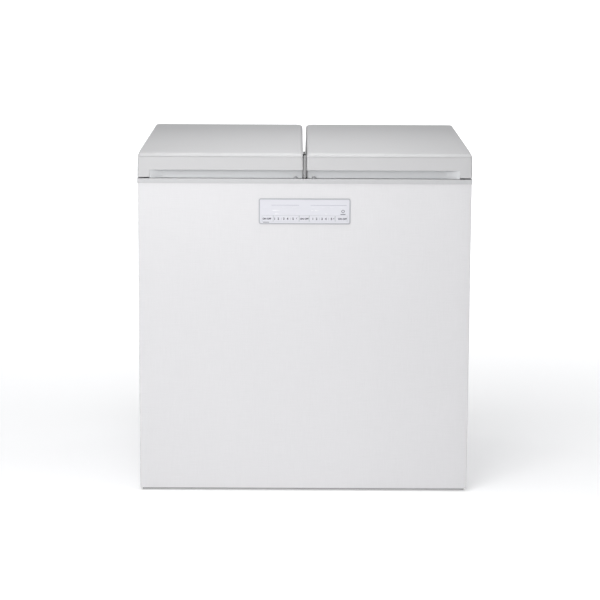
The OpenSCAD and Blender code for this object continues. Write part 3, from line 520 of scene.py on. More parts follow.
# %% Film and inks of the control panel
FASCIA_FILM = moulded("fascia_film", (0.64, 0.64, 0.68), 0.30, 2200, 0.006, 0.01, 8, coat=0.2)
PRINT_DARK = moulded("print_dark", (0.035, 0.033, 0.05), 0.5, 2600, 0.004, 0.05, 60)
PRINT_FAINT = moulded("print_faint", (0.42, 0.42, 0.46), 0.45, 2600, 0.004, 0.04, 60)
PRINT_GREY = moulded("print_grey", (0.36, 0.355, 0.42), 0.45, 2600, 0.004, 0.04, 60)
PRINT_PALE = moulded("print_pale", (0.66, 0.66, 0.70), 0.4, 2600, 0.004, 0.02, 60)
# Painted light: the white of the marks over the lamps stands for the glow of lit lamps; it gives no
# light.
LAMP_GLOW_PAINT = moulded("painted_lamp_glow", (0.72, 0.72, 0.745), 0.4, 2600, 0.004, 0.02, 60)
print("materials:", len(bpy.data.materials))

# %% [markdown]
# ## Floor
# The floor is one wide pale sheet that curves up far behind the appliance, as a roll of
# studio paper does, so that no horizon shows; a floor with a wall would show a line where
# they meet. It ends level with the camera, because a higher sheet would hide the object from
# low views behind it. A faint glow of its own keeps it white.

# %% Floor
PAPER_GLOW = 0.38
PAPER_HALF, PAPER_START, PAPER_FLAT = 9.0, -8.0, 8.0
PAPER_BEND, PAPER_RISE = 1.4, 0.05


def floor_sheet():
    """A sheet along X; in side view it runs flat, bends through a quarter circle and rises."""
    a = np.linspace(0, math.pi / 2, 24)
    y = np.concatenate([[PAPER_START, 0.0], PAPER_FLAT + PAPER_BEND * np.sin(a),
                        [PAPER_FLAT + PAPER_BEND]])
    z = np.concatenate([[0.0, 0.0], PAPER_BEND * (1 - np.cos(a)), [PAPER_RISE + PAPER_BEND]])
    x = np.array([-PAPER_HALF, PAPER_HALF])[:, None]
    points = np.stack(np.broadcast_arrays(x, y[None], z[None]), -1)
    mesh = bpy.data.meshes.new("floor")
    mesh.from_pydata(points.reshape(-1, 3).tolist(), [],
                     grid_faces(2, len(y), wrap=False).tolist())
    mesh.shade_smooth()
    paper = moulded("studio_paper", (0.90, 0.90, 0.905), 0.85, 300, 0.05, 0.004)
    shader = paper.node_tree.nodes["Principled BSDF"]
    shader.inputs["Emission Color"].default_value = (1.0, 1.0, 1.0, 1.0)
    shader.inputs["Emission Strength"].default_value = PAPER_GLOW
    mesh.materials.append(paper)
    sheet = bpy.data.objects.new("floor", mesh)
    bpy.context.scene.collection.objects.link(sheet)


floor_sheet()
print("paper ends at", round(PAPER_BEND + PAPER_RISE, 3), "m; camera at", CAMERA_AT[2], "m")

# %% [markdown]
# ## Lid shells
# A lid is one moulding: upright sides that lean in a little, a long round along both sides,
# a tight roll along the front that starts at a crease, and a top that rises to the back.
# It is made as rings stacked from the lower lip, over the roll, to the edge of the flat top.
# The lip isn't level: it steps up over the finger recess at the front and over the two hinge
# notches at the back, and its back end is rounded about the hinge axis. A box with rounded
# edges and cut-outs could come near it, but not with a roll whose radius changes on its way.

# %% Lid sizes
def joint_place(name):
    """Where a joint's axis runs, at rest."""
    return [joint["pos_m"] for joint in frame["joints"] if joint["name"] == name][0]


lid_low, lid_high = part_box("left_lid_shell")
LID_X0, LID_X1 = lid_low.x, lid_high.x
LID_Y0, LID_Y1 = lid_low.y, lid_high.y
LID_Z0 = lid_low.z
LID_WALL = 2.6 * MM
LID_FRONT_H, LID_REAR_H = 67 * MM, 92 * MM
LID_SLOPE = (LID_REAR_H - LID_FRONT_H) / (LID_Y1 - LID_Y0)
# The crease under the front's roll, its groove, and how far the roll's middle is set back
CREASE_Z, CREASE_GROOVE, ROLL_SET = LID_Z0 + 58 * MM, 1.3 * MM, 13.2 * MM
# Radii of the roll at the front, the rear, the outer and the inner side. Over the last part of
# its way to the front, a side's roll changes to one more radius
ROLL_FRONT, ROLL_REAR = 14 * MM, 6 * MM
ROLL_OUTER, ROLL_INNER = 5 * MM, 11 * MM
ROLL_SIDE_FRONT, ROLL_SIDE_FADE = 9 * MM, 90 * MM
# How far the sides lean in, and the upright corners' radius below and its growth over the roll
LEAN = 1.4 * MM
LID_CORNER, CORNER_GROWTH = 5.5 * MM, 9 * MM
# The finger recess: its outer end, its scoop, its skirt and flare, its ceiling and back wall
RECESS_X = LID_X0 + 33.5 * MM
SCOOP_W, SCOOP_POWER, SCOOP_SLOT = 36 * MM, 1.12, 0.9 * MM
SKIRT_Z, FLARE_TOP = LID_Z0 - 3.0 * MM, LID_Z0 + 3.5 * MM
RECESS_TOP = LID_Z0 + 20.5 * MM
RECESS_BACK = LID_Y0 + 18 * MM
RECESS_END_Y = RECESS_BACK + 2.5 * MM
# The hinge axis, the heel's radius about it, and the two notches that the hinge arms need
AXIS_Y, AXIS_Z = joint_place("left_lid_hinge")[1:]
HEEL = LID_Y1 - AXIS_Y
NOTCH_HALF = 23.3 * MM
NOTCH_TOP = AXIS_Z + 14 * MM
NOTCH_Y = AXIS_Y - 16 * MM
ARM_HALF = 17.3 * MM
arm_low, arm_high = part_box("left_hinge_arms")
HINGES = (arm_low.x + ARM_HALF, arm_high.x - ARM_HALF)
STEP = 1.2 * MM
print("lid:", round(LID_X1 - LID_X0, 4), "m wide, hinges at", [round(x, 4) for x in HINGES])

# %% Steps and spots of the lid
def lid_top(y):
    """Height of the sloping top above a point at depth y."""
    return LID_Z0 + LID_FRONT_H + (y - LID_Y0) * LID_SLOPE


def raised(x, start, end):
    """1 between start and end and 0 outside, with short rounded steps at both ends."""
    up_step = np.clip((x - start) / STEP, 0, 1)
    down_step = np.clip((end - x) / STEP, 0, 1)
    bend = np.minimum(up_step, down_step)
    return np.sqrt(np.clip(1 - (1 - bend) ** 2, 0, 1))


def crowded(start, length, spots, plain):
    """Places along a straight part, as fractions of it: evenly spaced, with extra spots."""
    even = start + np.linspace(0, 1, plain + 2)[1:-1] * length
    return (np.unique(np.round(np.concatenate([even, spots]), 6)) - start) / length


# %% Outline and lip of the lid
HEEL_TURN = np.linspace(0, math.pi / 2, 10)


def lid_template():
    """Once around the lid, with extra points where its lip steps and where its heel curves."""
    step = np.linspace(-0.1, 1.1, 9) * STEP
    spots_x = [RECESS_X + step]
    for x in HINGES:
        spots_x += [x - NOTCH_HALF + step, x + NOTCH_HALF - step[::-1]]
    heel_y = AXIS_Y + HEEL * np.sin(HEEL_TURN)
    spots_y = [RECESS_END_Y + step, heel_y[heel_y < LID_Y1 - LID_CORNER - 0.2 * MM]]
    width = LID_X1 - LID_X0 - 2 * LID_CORNER
    depth = LID_Y1 - LID_Y0 - 2 * LID_CORNER
    return ring_template(7, crowded(LID_X0 + LID_CORNER, width, np.concatenate(spots_x), 14),
                         crowded(LID_Y0 + LID_CORNER, depth, np.concatenate(spots_y), 18))


def lid_lip(x, y):
    """Height of the lip: level, up over the recess and up over the two hinge notches."""
    over_recess = raised(x, RECESS_X, LID_X1 + 1) * raised(-y, -RECESS_END_Y, 1)
    lip = LID_Z0 + over_recess * (RECESS_TOP - LID_Z0)
    notch = sum(raised(x, mid - NOTCH_HALF, mid + NOTCH_HALF) for mid in HINGES)
    return lip + notch * (y > AXIS_Y) * (NOTCH_TOP - lip)


# Once around the lid: the base ring, how much each point belongs to the front, rear and sides,
# and the radius of the roll at the sides, which grows smoothly towards the front
template = lid_template()
base_x, base_y = [line[0] for line in ring_points(template, LID_X0, LID_X1, LID_Y0, LID_Y1,
                                                  LID_CORNER)]
front_share, rear_share = np.clip(-template[3], 0, 1) ** 2, np.clip(template[3], 0, 1) ** 2
side_share = template[2] ** 2
near = np.clip(1 - (base_y - LID_Y0) / ROLL_SIDE_FADE, 0, 1)
rear_side = ROLL_OUTER + (ROLL_INNER - ROLL_OUTER) * template[0]
roll_side = rear_side + (ROLL_SIDE_FRONT - rear_side) * near ** 2 * (3 - 2 * near)
crease_angle = math.acos(ROLL_SET / ROLL_FRONT)
print("points around a lid:", len(base_x))


# %% Lid shells
def lid_walls():
    """Rings from the lip to where each side starts to roll. A ring lies at one height, or on
    the lip where the lip is higher. Behind the hinge axis no point lies further back than a
    circle about that axis, which rounds the heel."""
    wall_top = lid_top(base_y) - (front_share * ROLL_FRONT * (1 - math.sin(crease_angle))
                                  + side_share * roll_side + rear_share * ROLL_REAR)
    low_z = np.append(AXIS_Z - HEEL * np.cos(HEEL_TURN), [RECESS_TOP, NOTCH_TOP])[:, None]
    climb = np.array([0.3, 0.6, 0.85, 0.955, 0.972, 0.988, 1.0])[:, None]
    z = np.vstack([np.maximum(low_z, lid_lip(base_x, base_y)),
                   NOTCH_TOP + climb * (wall_top - NOTCH_TOP)])
    middle, half = (LID_X0 + LID_X1) / 2, (LID_X1 - LID_X0) / 2
    lean = LEAN * np.clip((z - LID_Z0) / (CREASE_Z - LID_Z0), 0, 1)
    x = middle + (base_x - middle) * (half - lean) / half
    below = np.clip(AXIS_Z - z, 0, HEEL)
    y = np.minimum(base_y, AXIS_Y + np.sqrt(HEEL ** 2 - below ** 2))
    y = np.where(base_y > AXIS_Y, y, base_y)
    y[-3:-1] += CREASE_GROOVE * front_share
    return np.stack([x, y, z], -1)


def lid_rolls():
    """Rings over the edge: each side turns over with its own radius, as one minus the sine
    and one minus the cosine of the angle turned, and the front starts at its crease."""
    turn = np.linspace(0, 1, 13)[1:]
    a_front = crease_angle + turn * (math.pi / 2 - crease_angle)
    a_side = turn * math.pi / 2
    drop = (np.outer(1 - np.sin(a_front), front_share) * ROLL_FRONT
            + np.outer(1 - np.sin(a_side), side_share * roll_side)
            + np.outer(1 - np.sin(a_side), rear_share) * ROLL_REAR)
    x, y = ring_points(template, LID_X0 + LEAN, LID_X1 - LEAN,
                       LID_Y0 + ROLL_SET - ROLL_FRONT * np.cos(a_front),
                       LID_Y1 - ROLL_REAR * (1 - np.cos(a_side)),
                       LID_CORNER + CORNER_GROWTH * (1 - np.cos(a_side)))
    x = x + np.outer(1 - np.cos(a_side), roll_side * (1 - 2 * template[0]))
    return np.stack([x, y, lid_top(y) - drop], -1)


def mirrored(points):
    """The same points for the right-hand side."""
    return np.asarray(points) * np.array([-1.0, 1.0, 1.0])


SIDES = (("left", lambda points: np.asarray(points)), ("right", mirrored))
lid_skin = np.concatenate([lid_walls(), lid_rolls()])
for side, place in SIDES:
    points, faces = surface([place(lid_skin)], cap="top")
    shell = add_piece(side + "_lid_skin", points, faces, side + "_lid", LID_PLASTIC, smooth=16)
    thicken(shell, LID_WALL)
    finish_edges(shell, 0.5 * MM, angle=50)
    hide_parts(side + "_lid_shell")
print("lid rings:", lid_skin.shape)

# %% [markdown]
# ## Finger recess
# Under the front of each lid runs a recess for the fingers. Its strip is a separate moulding
# in a cooler grey: a ceiling, a back wall, a soft corner between them, and a scooped outer
# end. The strip is one profile carried along the recess, and the carrying path bends forward
# around the scoop, where the ceiling shrinks to nothing. Cutting the recess out of the lid
# would leave one moulding in one colour, where the real lid has two.

# %% Finger recess
STRIP_WALL, PLATE_WALL = 2.2 * MM, 1.4 * MM
STRIP_FRONT, SCOOP_START = LID_Y0 + 2.9 * MM, LID_Y0 + 1.5 * MM
STRIP_BEND, STRIP_FLARE = 5 * MM, 0.8 * MM


def recess_path():
    """The back wall seen from above: it starts at the front, and its depth grows as one minus
    a power of the way that is left. Then it runs straight to the lid's inner side."""
    way = np.linspace(0, 1, 22)
    straight = np.linspace(RECESS_X + SCOOP_W, LID_X1 - 3.4 * MM, 30)[1:]
    scoop_y = SCOOP_START + (RECESS_BACK - SCOOP_START) * (1 - (1 - way) ** SCOOP_POWER)
    x = np.concatenate([RECESS_X + SCOOP_SLOT + (SCOOP_W - SCOOP_SLOT) * way, straight])
    return x, np.concatenate([scoop_y, np.full(len(straight), RECESS_BACK)])


def recess_strip():
    """Profile from the skirt's lower edge, up the flare and the back wall, around the corner,
    and forward under the ceiling, carried along the path."""
    path_x, path_y = recess_path()
    reach = np.clip(path_y - STRIP_FRONT, 0.2 * MM, None)
    corner = np.minimum(STRIP_BEND, 0.7 * reach)
    flare = np.minimum(STRIP_FLARE, 0.4 * reach)
    a = np.linspace(0, math.pi / 2, 8)[:, None]
    top = RECESS_TOP + 0.05 * MM
    low = np.array([0.0, 0.12, 0.35, 0.6, 0.85, 1.0])[:, None]
    skirt_z = SKIRT_Z + low * (FLARE_TOP - SKIRT_Z)
    skirt_y = path_y - flare * np.clip(1 - low * 1.15, 0, 1) ** 1.3
    bend_y = path_y - corner * (1 - np.cos(a))
    bend_z = top - corner * (1 - np.sin(a))
    ceiling_y = STRIP_FRONT + np.array([0.5, 0.0])[:, None] * (reach - corner)
    y = np.concatenate([skirt_y, bend_y, ceiling_y])
    z = np.concatenate([np.broadcast_to(skirt_z, skirt_y.shape), bend_z,
                        np.broadcast_to(top, ceiling_y.shape)])
    return np.stack([np.broadcast_to(path_x, y.shape), y, z], -1)


def closing_plate(path):
    """A strip of sheet under the lid, from just behind the recess's back wall to the inner
    panel's front edge: it follows the same path and hides the foam."""
    rear_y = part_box("left_lid_liner")[0].y - 0.05 * MM
    plate = np.stack([path + np.array([0, 0.8 * MM, 0]), path * [1, 0, 1] + [0, rear_y, 0]])
    plate[..., 2] = LID_Z0 + 0.5 * MM
    return plate


# The plate follows the sixth row of the strip, where the back wall rises from the skirt.
# The end block closes the recess outside its scoop
strip = recess_strip()
plate = closing_plate(strip[5])
strip_end = slab(LID_X0 + 3.3 * MM, RECESS_X - 0.6 * MM, LID_Y0 + 4.3 * MM,
                 RECESS_BACK + STRIP_WALL, LID_Z0 + 0.2 * MM, RECESS_TOP + STRIP_WALL,
                 3 * MM, 1 * MM)
for side, place in SIDES:
    skin = add_piece(side + "_recess_strip", place(strip), grid_faces(*strip.shape[:2], False),
                     side + "_lid", HANDLE_PLASTIC)
    normal = skin.data.polygons[len(skin.data.polygons) // 2].normal
    thicken(skin, STRIP_WALL, outward=normal.y + normal.z > 0)
    shut = add_piece(side + "_recess_plate", place(plate), grid_faces(*plate.shape[:2], False),
                     side + "_lid", LINER_PLASTIC)
    thicken(shut, PLATE_WALL, outward=shut.data.polygons[0].normal.z > 0)
    points, faces = surface([place(strip_end)], cap="both")
    end = add_piece(side + "_recess_end", points, faces, side + "_lid", HANDLE_PLASTIC)
    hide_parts(side + "_lid_handle")
print("recess:", round((LID_X1 - RECESS_X) / MM), "mm long,",
      round((RECESS_BACK - LID_Y0) / MM), "mm deep")

# %% [markdown]
# ## Steel skins and the plastic frame
# The front is one folded sheet: its side edges turn back with a small radius, and a window is
# left for the control panel. A grey strip under its lower edge closes the gap to the floor; its
# dark grey is painted shade, standing for the shadow in that gap.
# The sides and the pan keep the forms of the working model, with their edges rounded.
# The plastic frame sits on top and hides the sheets' edges. The front is made anew, as a
# profile seen from above carried up, because its folded edges catch the light.

# %% Front skin
TRIM_LIFT, SKIN_DROP = 1.6 * MM, 11.5 * MM
FRONT_SHEET, FRONT_BEND, FRONT_TUCK = 0.8 * MM, 2.2 * MM, 4 * MM
WINDOW_IN = 4.5 * MM
front_low, front_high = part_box("front_panel")
skin_low, skin_high = front_low.z - SKIN_DROP, front_high.z + TRIM_LIFT
bezel_low, bezel_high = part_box("control_bezel")


def front_skin():
    """The profile seen from above (left fold, corner, face, corner, right fold) carried up."""
    x0, x1, y0, back = front_low.x, front_high.x, front_low.y, front_high.y
    a = np.linspace(0, math.pi / 2, 6)
    rise, fall = FRONT_BEND * (1 - np.cos(a)), FRONT_BEND * (1 - np.sin(a))
    window_x = (bezel_low.x + WINDOW_IN, bezel_high.x - WINDOW_IN)
    window_z = (bezel_low.z + WINDOW_IN, bezel_high.z - WINDOW_IN)
    plain_x = np.linspace(x0 + FRONT_BEND, x1 - FRONT_BEND, 26)[1:-1]
    face_x = np.sort(np.concatenate([plain_x, window_x]))
    x = np.concatenate([[x0, x0], x0 + rise, face_x, x1 - fall, [x1, x1]])
    y = np.concatenate([[back, back - FRONT_TUCK], y0 + fall, np.full(len(face_x), y0),
                        y0 + rise, [back - FRONT_TUCK, back]])
    z = np.sort(np.concatenate([np.linspace(skin_low, skin_high, 24), window_z]))
    points = np.stack(np.broadcast_arrays(x[None], y[None], z[:, None]), -1)
    faces = grid_faces(len(z), len(x), wrap=False)
    middle = points.reshape(-1, 3)[faces].mean(1)
    hole = ((middle[:, 0] > window_x[0]) & (middle[:, 0] < window_x[1]) & (middle[:, 1] < y0 + MM)
            & (middle[:, 2] > window_z[0]) & (middle[:, 2] < window_z[1]))
    return points, faces[~hole]


points, faces = front_skin()
front = add_piece("front_skin", points, faces, "cabinet", FRONT_STEEL)
if front.data.polygons[len(front.data.polygons) // 2].normal.y > 0:
    front.data.flip_normals()
thicken(front, FRONT_SHEET)
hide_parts("front_panel")
print("front:", round(skin_high - skin_low, 4), "m high, faces:", len(faces))

# %% Foot strip, dark grey as painted shade
FOOT_HALF, FOOT_Z, FOOT_H, FOOT_D = 456 * MM, 3.8 * MM, 6.2 * MM, 5 * MM
FOOT_Y = front_low.y + 1.2 * MM
# A thin strip under the front sheet; its dark grey is painted shade for the shadow in the gap to
# the floor.
shade_gap_strip = slab(-FOOT_HALF, FOOT_HALF, FOOT_Y, FOOT_Y + FOOT_D, FOOT_Z, FOOT_Z + FOOT_H,
                  2 * MM, 0.8 * MM)
points, faces = surface([shade_gap_strip], cap="both")
add_piece("shade_gap_strip", points, faces, "cabinet", SHADE_STRIP_GREY)

# %% Other skins, pan and frame
for side in ("left", "right"):
    soften(side + "_side_panel", 0.5 * MM, SIDE_STEEL,
           moves=[(front_low.z, -SKIN_DROP), (front_high.z, TRIM_LIFT)])
soften("base_pan", 0.5 * MM, PAN_STEEL)
soften("machine_room_lining", 0.3 * MM, REAR_STEEL)
soften("top_frame", 2.2 * MM, FRAME_PLASTIC, segments=4, moves=[(front_high.z, TRIM_LIFT)])
soften("centre_cover", 0.8 * MM, DARK_PLASTIC)

# %% [markdown]
# ## Hinge pockets
# Each hinge leaf swings in a pocket that is moulded into the lid's heel. A pocket is a thin
# open box: its profile runs from the back edge along the ceiling, around a soft corner and
# down the front wall, and flat ends close it at both sides. It hides the foam behind it.

# %% Hinge pockets
POCKET_WALL, POCKET_BEND = 0.6 * MM, 4 * MM
POCKET_IN = LID_WALL + 0.1 * MM


def pocket_skin(x_mid):
    """The ceiling, corner and front wall as a profile carried along X, and its flat ends,
    whose last edge is the lid's round heel: radius times sine and cosine about the axis."""
    a = np.linspace(0, math.pi / 2, 7)
    y = np.concatenate([[LID_Y1 - POCKET_IN], NOTCH_Y + POCKET_BEND * (1 - np.sin(a)), [NOTCH_Y]])
    z = np.concatenate([[NOTCH_TOP], NOTCH_TOP - POCKET_BEND * (1 - np.cos(a)),
                        [LID_Z0 + 2.4 * MM]])
    heel = np.linspace(0.2, math.pi / 2, 6)
    inner = HEEL - POCKET_IN
    heel_y, heel_z = AXIS_Y + inner * np.sin(heel), AXIS_Z - inner * np.cos(heel)
    x = x_mid + np.array([-NOTCH_HALF, NOTCH_HALF])[:, None]
    sheet = np.stack(np.broadcast_arrays(x, y[None], z[None]), -1)
    cols = len(y)
    points = [sheet.reshape(-1, 3)]
    faces = grid_faces(2, cols, wrap=False).tolist()
    for i, edge in enumerate(x[:, 0]):
        arc = np.stack(np.broadcast_arrays(edge, heel_y, heel_z), -1)
        first = 2 * cols + i * len(heel)
        points.append(arc)
        faces.append(list(range(i * cols, i * cols + cols)) + list(range(first, first + len(heel))))
    return np.vstack(points), faces


for side, place in SIDES:
    for i, x in enumerate(HINGES):
        points, faces = pocket_skin(x)
        pocket = add_piece(f"{side}_hinge_pocket_{i + 1}", place(points), faces, side + "_lid",
                           LID_PLASTIC)
        thicken(pocket, POCKET_WALL, outward=True)
print("pockets:", len(SIDES) * len(HINGES))

# %% [markdown]
# ## Magnetic seals
# The seal is soft vinyl around a magnetic strip. Its section is a flat foot under the lid, two
# pleats that let it stretch, and a flat face that meets the deck. The section is swept around
# the compartment's mouth as one closed tube. A bevelled curve could sweep it as well, but the
# ring template already knows the corners.

# %% Magnetic seals
gasket_low, gasket_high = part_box("left_lid_gasket")
GASKET_W = 14 * MM
MOUTH_R = 25 * MM
# The seal's section in millimetres: across from the mouth's edge, and up from the deck
SEAL_SECTION = ((1, 3.9), (0.3, 3.2), (1.9, 2.3), (0.2, 1.3), (0.9, 0.35), (2.2, 0.1), (7, 0.1),
                (11.8, 0.1), (13.1, 0.35), (13.8, 1.3), (12.1, 2.3), (13.7, 3.2), (13, 3.9),
                (7, 3.95), (1, 3.9))


def seal_rings():
    """For each point of the section, a ring at that distance from the mouth's edge."""
    across, rise = np.array(SEAL_SECTION).T * MM
    out = GASKET_W - across
    x, y = ring_points(ring_template(12), gasket_low.x + out, gasket_high.x - out,
                       gasket_low.y + out, gasket_high.y - out, MOUTH_R + across)
    return np.stack([x, y, np.broadcast_to((gasket_low.z + rise)[:, None], x.shape)], -1)


for side, place in SIDES:
    points, faces = surface([place(seal_rings())])
    seal = add_piece(side + "_seal", points, faces, side + "_lid", SEAL_VINYL, smooth=50)
    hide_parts(side + "_lid_gasket")
print("seal:", seal_rings().shape)

# %% [markdown]
# ## Turned pieces
# Rollers, feet, the cord's gland and all the screws are turned: a profile of radius and height
# goes once around an axis. The feet carry a thread, which is a row of rounded ridges at the
# screw's pitch. A screw head has a cross pressed into it, made by lowering the points that
# lie near either of two crossing lines. The Screw modifier turns a profile too, but arrays
# let the cross and the thread be worked out in the same step.

# %% Rollers and feet
def roller_profile():
    """Half section of a wheel from bore to tyre and back: a hub, a thin web and a round rim."""
    half = [(4.1, 11), (7.5, 11), (8.2, 10.3), (8.6, 6), (13.5, 5), (14.2, 9.2), (15.0, 10),
            (17.6, 10), (19.2, 8.8), (19.9, 6), (20, 0)]
    return np.array(half + [(r, -z) for r, z in half[-2::-1]] + [half[0]]) * MM


FOOT_STEM, FOOT_PAD_H = 6 * MM, 10 * MM
THREAD_PITCH, THREAD_DEPTH = 1.75 * MM, 0.9 * MM


def foot_profile(r_pad, z_top):
    """A round pad with soft edges, and a stem whose radius dips by half the thread's depth
    times one plus the cosine of the height, with one turn of the cosine for each pitch."""
    r_stem, z_pad = FOOT_STEM, FOOT_PAD_H
    pad = [(0, 0), (r_pad - 1.5 * MM, 0), (r_pad - 0.4 * MM, 0.5 * MM), (r_pad, 1.6 * MM),
           (r_pad, z_pad - 4 * MM), (r_pad - 1 * MM, z_pad - 3 * MM),
           (r_pad - 4 * MM, z_pad - 2.6 * MM), (r_pad - 4.6 * MM, z_pad - 0.6 * MM),
           (r_pad - 5.5 * MM, z_pad), (r_stem, z_pad)]
    count = int((z_top - z_pad) / THREAD_PITCH * 6)
    z = np.linspace(z_pad + 0.5 * MM, z_top - 1.2 * MM, count)
    ridge = r_stem - THREAD_DEPTH / 2 * (1 + np.cos(2 * math.pi * z / THREAD_PITCH))
    top = [(r_stem - 1 * MM, z_top), (0, z_top)]
    return np.vstack([pad, np.stack([ridge, z], -1), top])


for side in ("left", "right"):
    low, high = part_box(side + "_roller")
    points, faces = surface([turned(roller_profile(), 64, (low + high) / 2, "X")])
    wheel = add_piece(side + "_wheel", points, faces, side + "_wheel", GREY_PLASTIC)
    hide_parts(side + "_roller")
    low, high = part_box(side + "_foot")
    profile = foot_profile((high.x - low.x) / 2, high.z)
    middle = ((low.x + high.x) / 2, (low.y + high.y) / 2, 0)
    points, faces = surface([turned(profile, 40, middle)])
    foot = add_piece(side + "_threaded_foot", points, faces, side + "_leveller", DARK_PLASTIC)
    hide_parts(side + "_foot")
print("thread rows:", len(profile))

# %% Screw heads
HEAD_R, HEAD_H = 4.5 * MM, 2.35 * MM
SMALL_HEAD_R, SMALL_HEAD_H, SMALL_HEAD_OUT = 3.6 * MM, 0.58 * MM, 26 * MM
COVER_SCREW_X = 0.12
CROSS_HALF, CROSS_SLOPE, CROSS_REACH, CROSS_DEPTH = 0.14, 0.05, 0.55, 0.55


def cross_head(radius, height):
    """A domed head on a polar grid, lying with its foot at 0: the dome is the root of one
    minus the cube of the way out, and the cross is where either coordinate is small."""
    r = np.concatenate([np.linspace(0, 0.62, 15), np.linspace(0.66, 0.97, 6), [1.0, 1.0]])
    a = np.linspace(0, 2 * math.pi, 48, endpoint=False)
    x, y = radius * r[:, None] * np.cos(a), radius * r[:, None] * np.sin(a)
    dome = height * (0.35 + 0.65 * np.sqrt(np.clip(1 - r[:, None] ** 3, 0, 1)))
    slot = np.minimum(abs(x), abs(y)) / radius
    depth = CROSS_DEPTH * height * np.clip((CROSS_HALF - slot) / CROSS_SLOPE, 0, 1)
    z = dome - depth * (r[:, None] < CROSS_REACH)
    z[-1] = 0
    return np.stack([x, y, z], -1)


def to_rear(points, place):
    """Turns a head that was made lying down so that it faces the back, and moves it."""
    x, y, z = np.moveaxis(points, -1, 0)
    return np.stack([-x, z, y], -1) + place


screw_low, screw_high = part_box("cover_screws")
BACK_Y = screw_high.y - 2.4 * MM
cover_xs = (screw_low.x + HEAD_R, -COVER_SCREW_X, COVER_SCREW_X, screw_high.x - HEAD_R)
cover_zs = (screw_low.z + HEAD_R, screw_high.z - HEAD_R)
cover_heads = [to_rear(cross_head(HEAD_R, HEAD_H), (x, BACK_Y, z))
               for x in cover_xs for z in cover_zs]
plate_low, plate_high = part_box("hinge_screws")
plate_y, plate_z = (plate_low.y + plate_high.y) / 2, plate_high.z - 0.6 * MM
hinge_heads = [cross_head(SMALL_HEAD_R, SMALL_HEAD_H) + (s * x + out, plate_y, plate_z)
               for x in HINGES for s in (-1, 1) for out in (-SMALL_HEAD_OUT, SMALL_HEAD_OUT)]
for node, heads in (("cover_screws", cover_heads), ("hinge_screws", hinge_heads)):
    points, faces = surface(heads)
    screws = add_piece(node[:-1] + "_heads", points, faces, "cabinet", ZINC)
    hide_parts(node)
print("screw heads:", len(cover_heads) + len(hinge_heads))

# %% Cord gland
gland_low, gland_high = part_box("cord_gland")
gland_mid = (gland_low + gland_high) / 2
gland = np.array([(4.5, 13), (5.2, 13), (6.4, 12.6), (12, 12.2), (12.8, 11.6), (13, 10.6),
                  (13, 8.6), (12.6, 8), (10, 8), (10, 5.6), (9.5, 5.2), (9.5, 4.4), (10, 4),
                  (10, 1), (9.4, 0), (4.5, 0), (4.5, 13)]) * MM
points, faces = surface([turned(gland, 48, (gland_mid.x, gland_low.y, gland_mid.z), "Y")])
boot = add_piece("cord_gland_boot", points, faces, "cabinet", DARK_RUBBER)
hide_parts("cord_gland")

# %% [markdown]
# ## Back and machine room
# The rear sheet is stiffened by four upright beads, pressed outwards: each is a bump whose
# height follows a raised cosine across and fades at both ends. Over each slot of the cover
# stands a small hood that keeps fingers and dust out, a quarter of an ellipse in section,
# which sinks to nothing at its two ends. Both could be a bump in the material, but a bump
# has no outline, and these are seen from the side.

# %% Rear sheet with beads
rear_low, rear_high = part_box("rear_panel")
BEADS = np.array([-0.33, -0.11, 0.11, 0.33])
BEAD_HALF, BEAD_RISE, BEAD_END, BEAD_FADE = 32 * MM, 3.5 * MM, 35 * MM, 60 * MM
BEAD_STEEPNESS, REAR_WALL = 1.6, 1.1 * MM


def rear_sheet():
    """Depth of the outer face on a grid across and up: flat, plus the sum of the beads."""
    across = np.linspace(-1, 1, 25) * BEAD_HALF
    x = np.unique(np.round(np.concatenate([[rear_low.x, rear_high.x]]
                                          + [mid + across for mid in BEADS]), 6))
    bead_z = np.linspace(rear_low.z + BEAD_END, rear_high.z - BEAD_END, 60)
    z = np.unique(np.concatenate([[rear_low.z, rear_high.z + TRIM_LIFT], bead_z]))
    near = np.clip(1 - np.abs(x[:, None] - BEADS) / BEAD_HALF, 0, 1).max(1)
    bump = 0.5 - 0.5 * np.cos(math.pi * np.clip(near * BEAD_STEEPNESS, 0, 1))
    ends = np.clip(np.minimum(z - z[1], z[-2] - z) / BEAD_FADE, 0, 1)
    fade = 0.5 - 0.5 * np.cos(math.pi * ends)
    y = rear_high.y + BEAD_RISE * np.outer(fade, bump)
    return np.stack(np.broadcast_arrays(x[None], y, z[:, None]), -1)


sheet = rear_sheet()
rear = add_piece("rear_sheet", sheet, grid_faces(*sheet.shape[:2], wrap=False), "cabinet",
                 REAR_STEEL)
if rear.data.polygons[0].normal.y < 0:
    rear.data.flip_normals()
thicken(rear, REAR_WALL)
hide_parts("rear_panel")
print("rear sheet grid:", sheet.shape[:2])

# %% Louvre hoods
SLOT_W, SLOT_H = 90 * MM, 4 * MM
SLOT_XS, SLOT_ROWS, SLOT_PITCH = (-0.23, 0.08, 0.20), 12, 14 * MM
SLOT_Z0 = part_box("machine_room_cover")[0].z + 88 * MM
HOOD_OUT, HOOD_H = 3.4 * MM, 7 * MM


def hood(x0, z0):
    """A quarter ellipse from above the slot out over it: reach times sine, height times
    cosine. Along the slot the reach falls off as the root of one minus the eighth power of
    the way from the middle. The lower edge turns back to the sheet inside."""
    t = np.linspace(-1, 1, 25)
    reach = HOOD_OUT * np.sqrt(np.clip(1 - t ** 8, 0, 1)) + 0.1 * MM
    a = np.linspace(0, math.pi / 2, 9)[:, None]
    y = BACK_Y - 0.1 * MM + reach * np.sin(a)
    z = z0 + SLOT_H / 2 + HOOD_H * (np.cos(a) - 0.45)
    x = np.broadcast_to(x0 + SLOT_W / 2 + t * (SLOT_W / 2 + 1.5 * MM), y.shape)
    outer = np.stack([x, y, np.broadcast_to(z, y.shape)], -1)
    inner = outer[::-1] - np.array([0, 0.7 * MM, 0.5 * MM])
    return np.concatenate([outer, inner, outer[:1]])


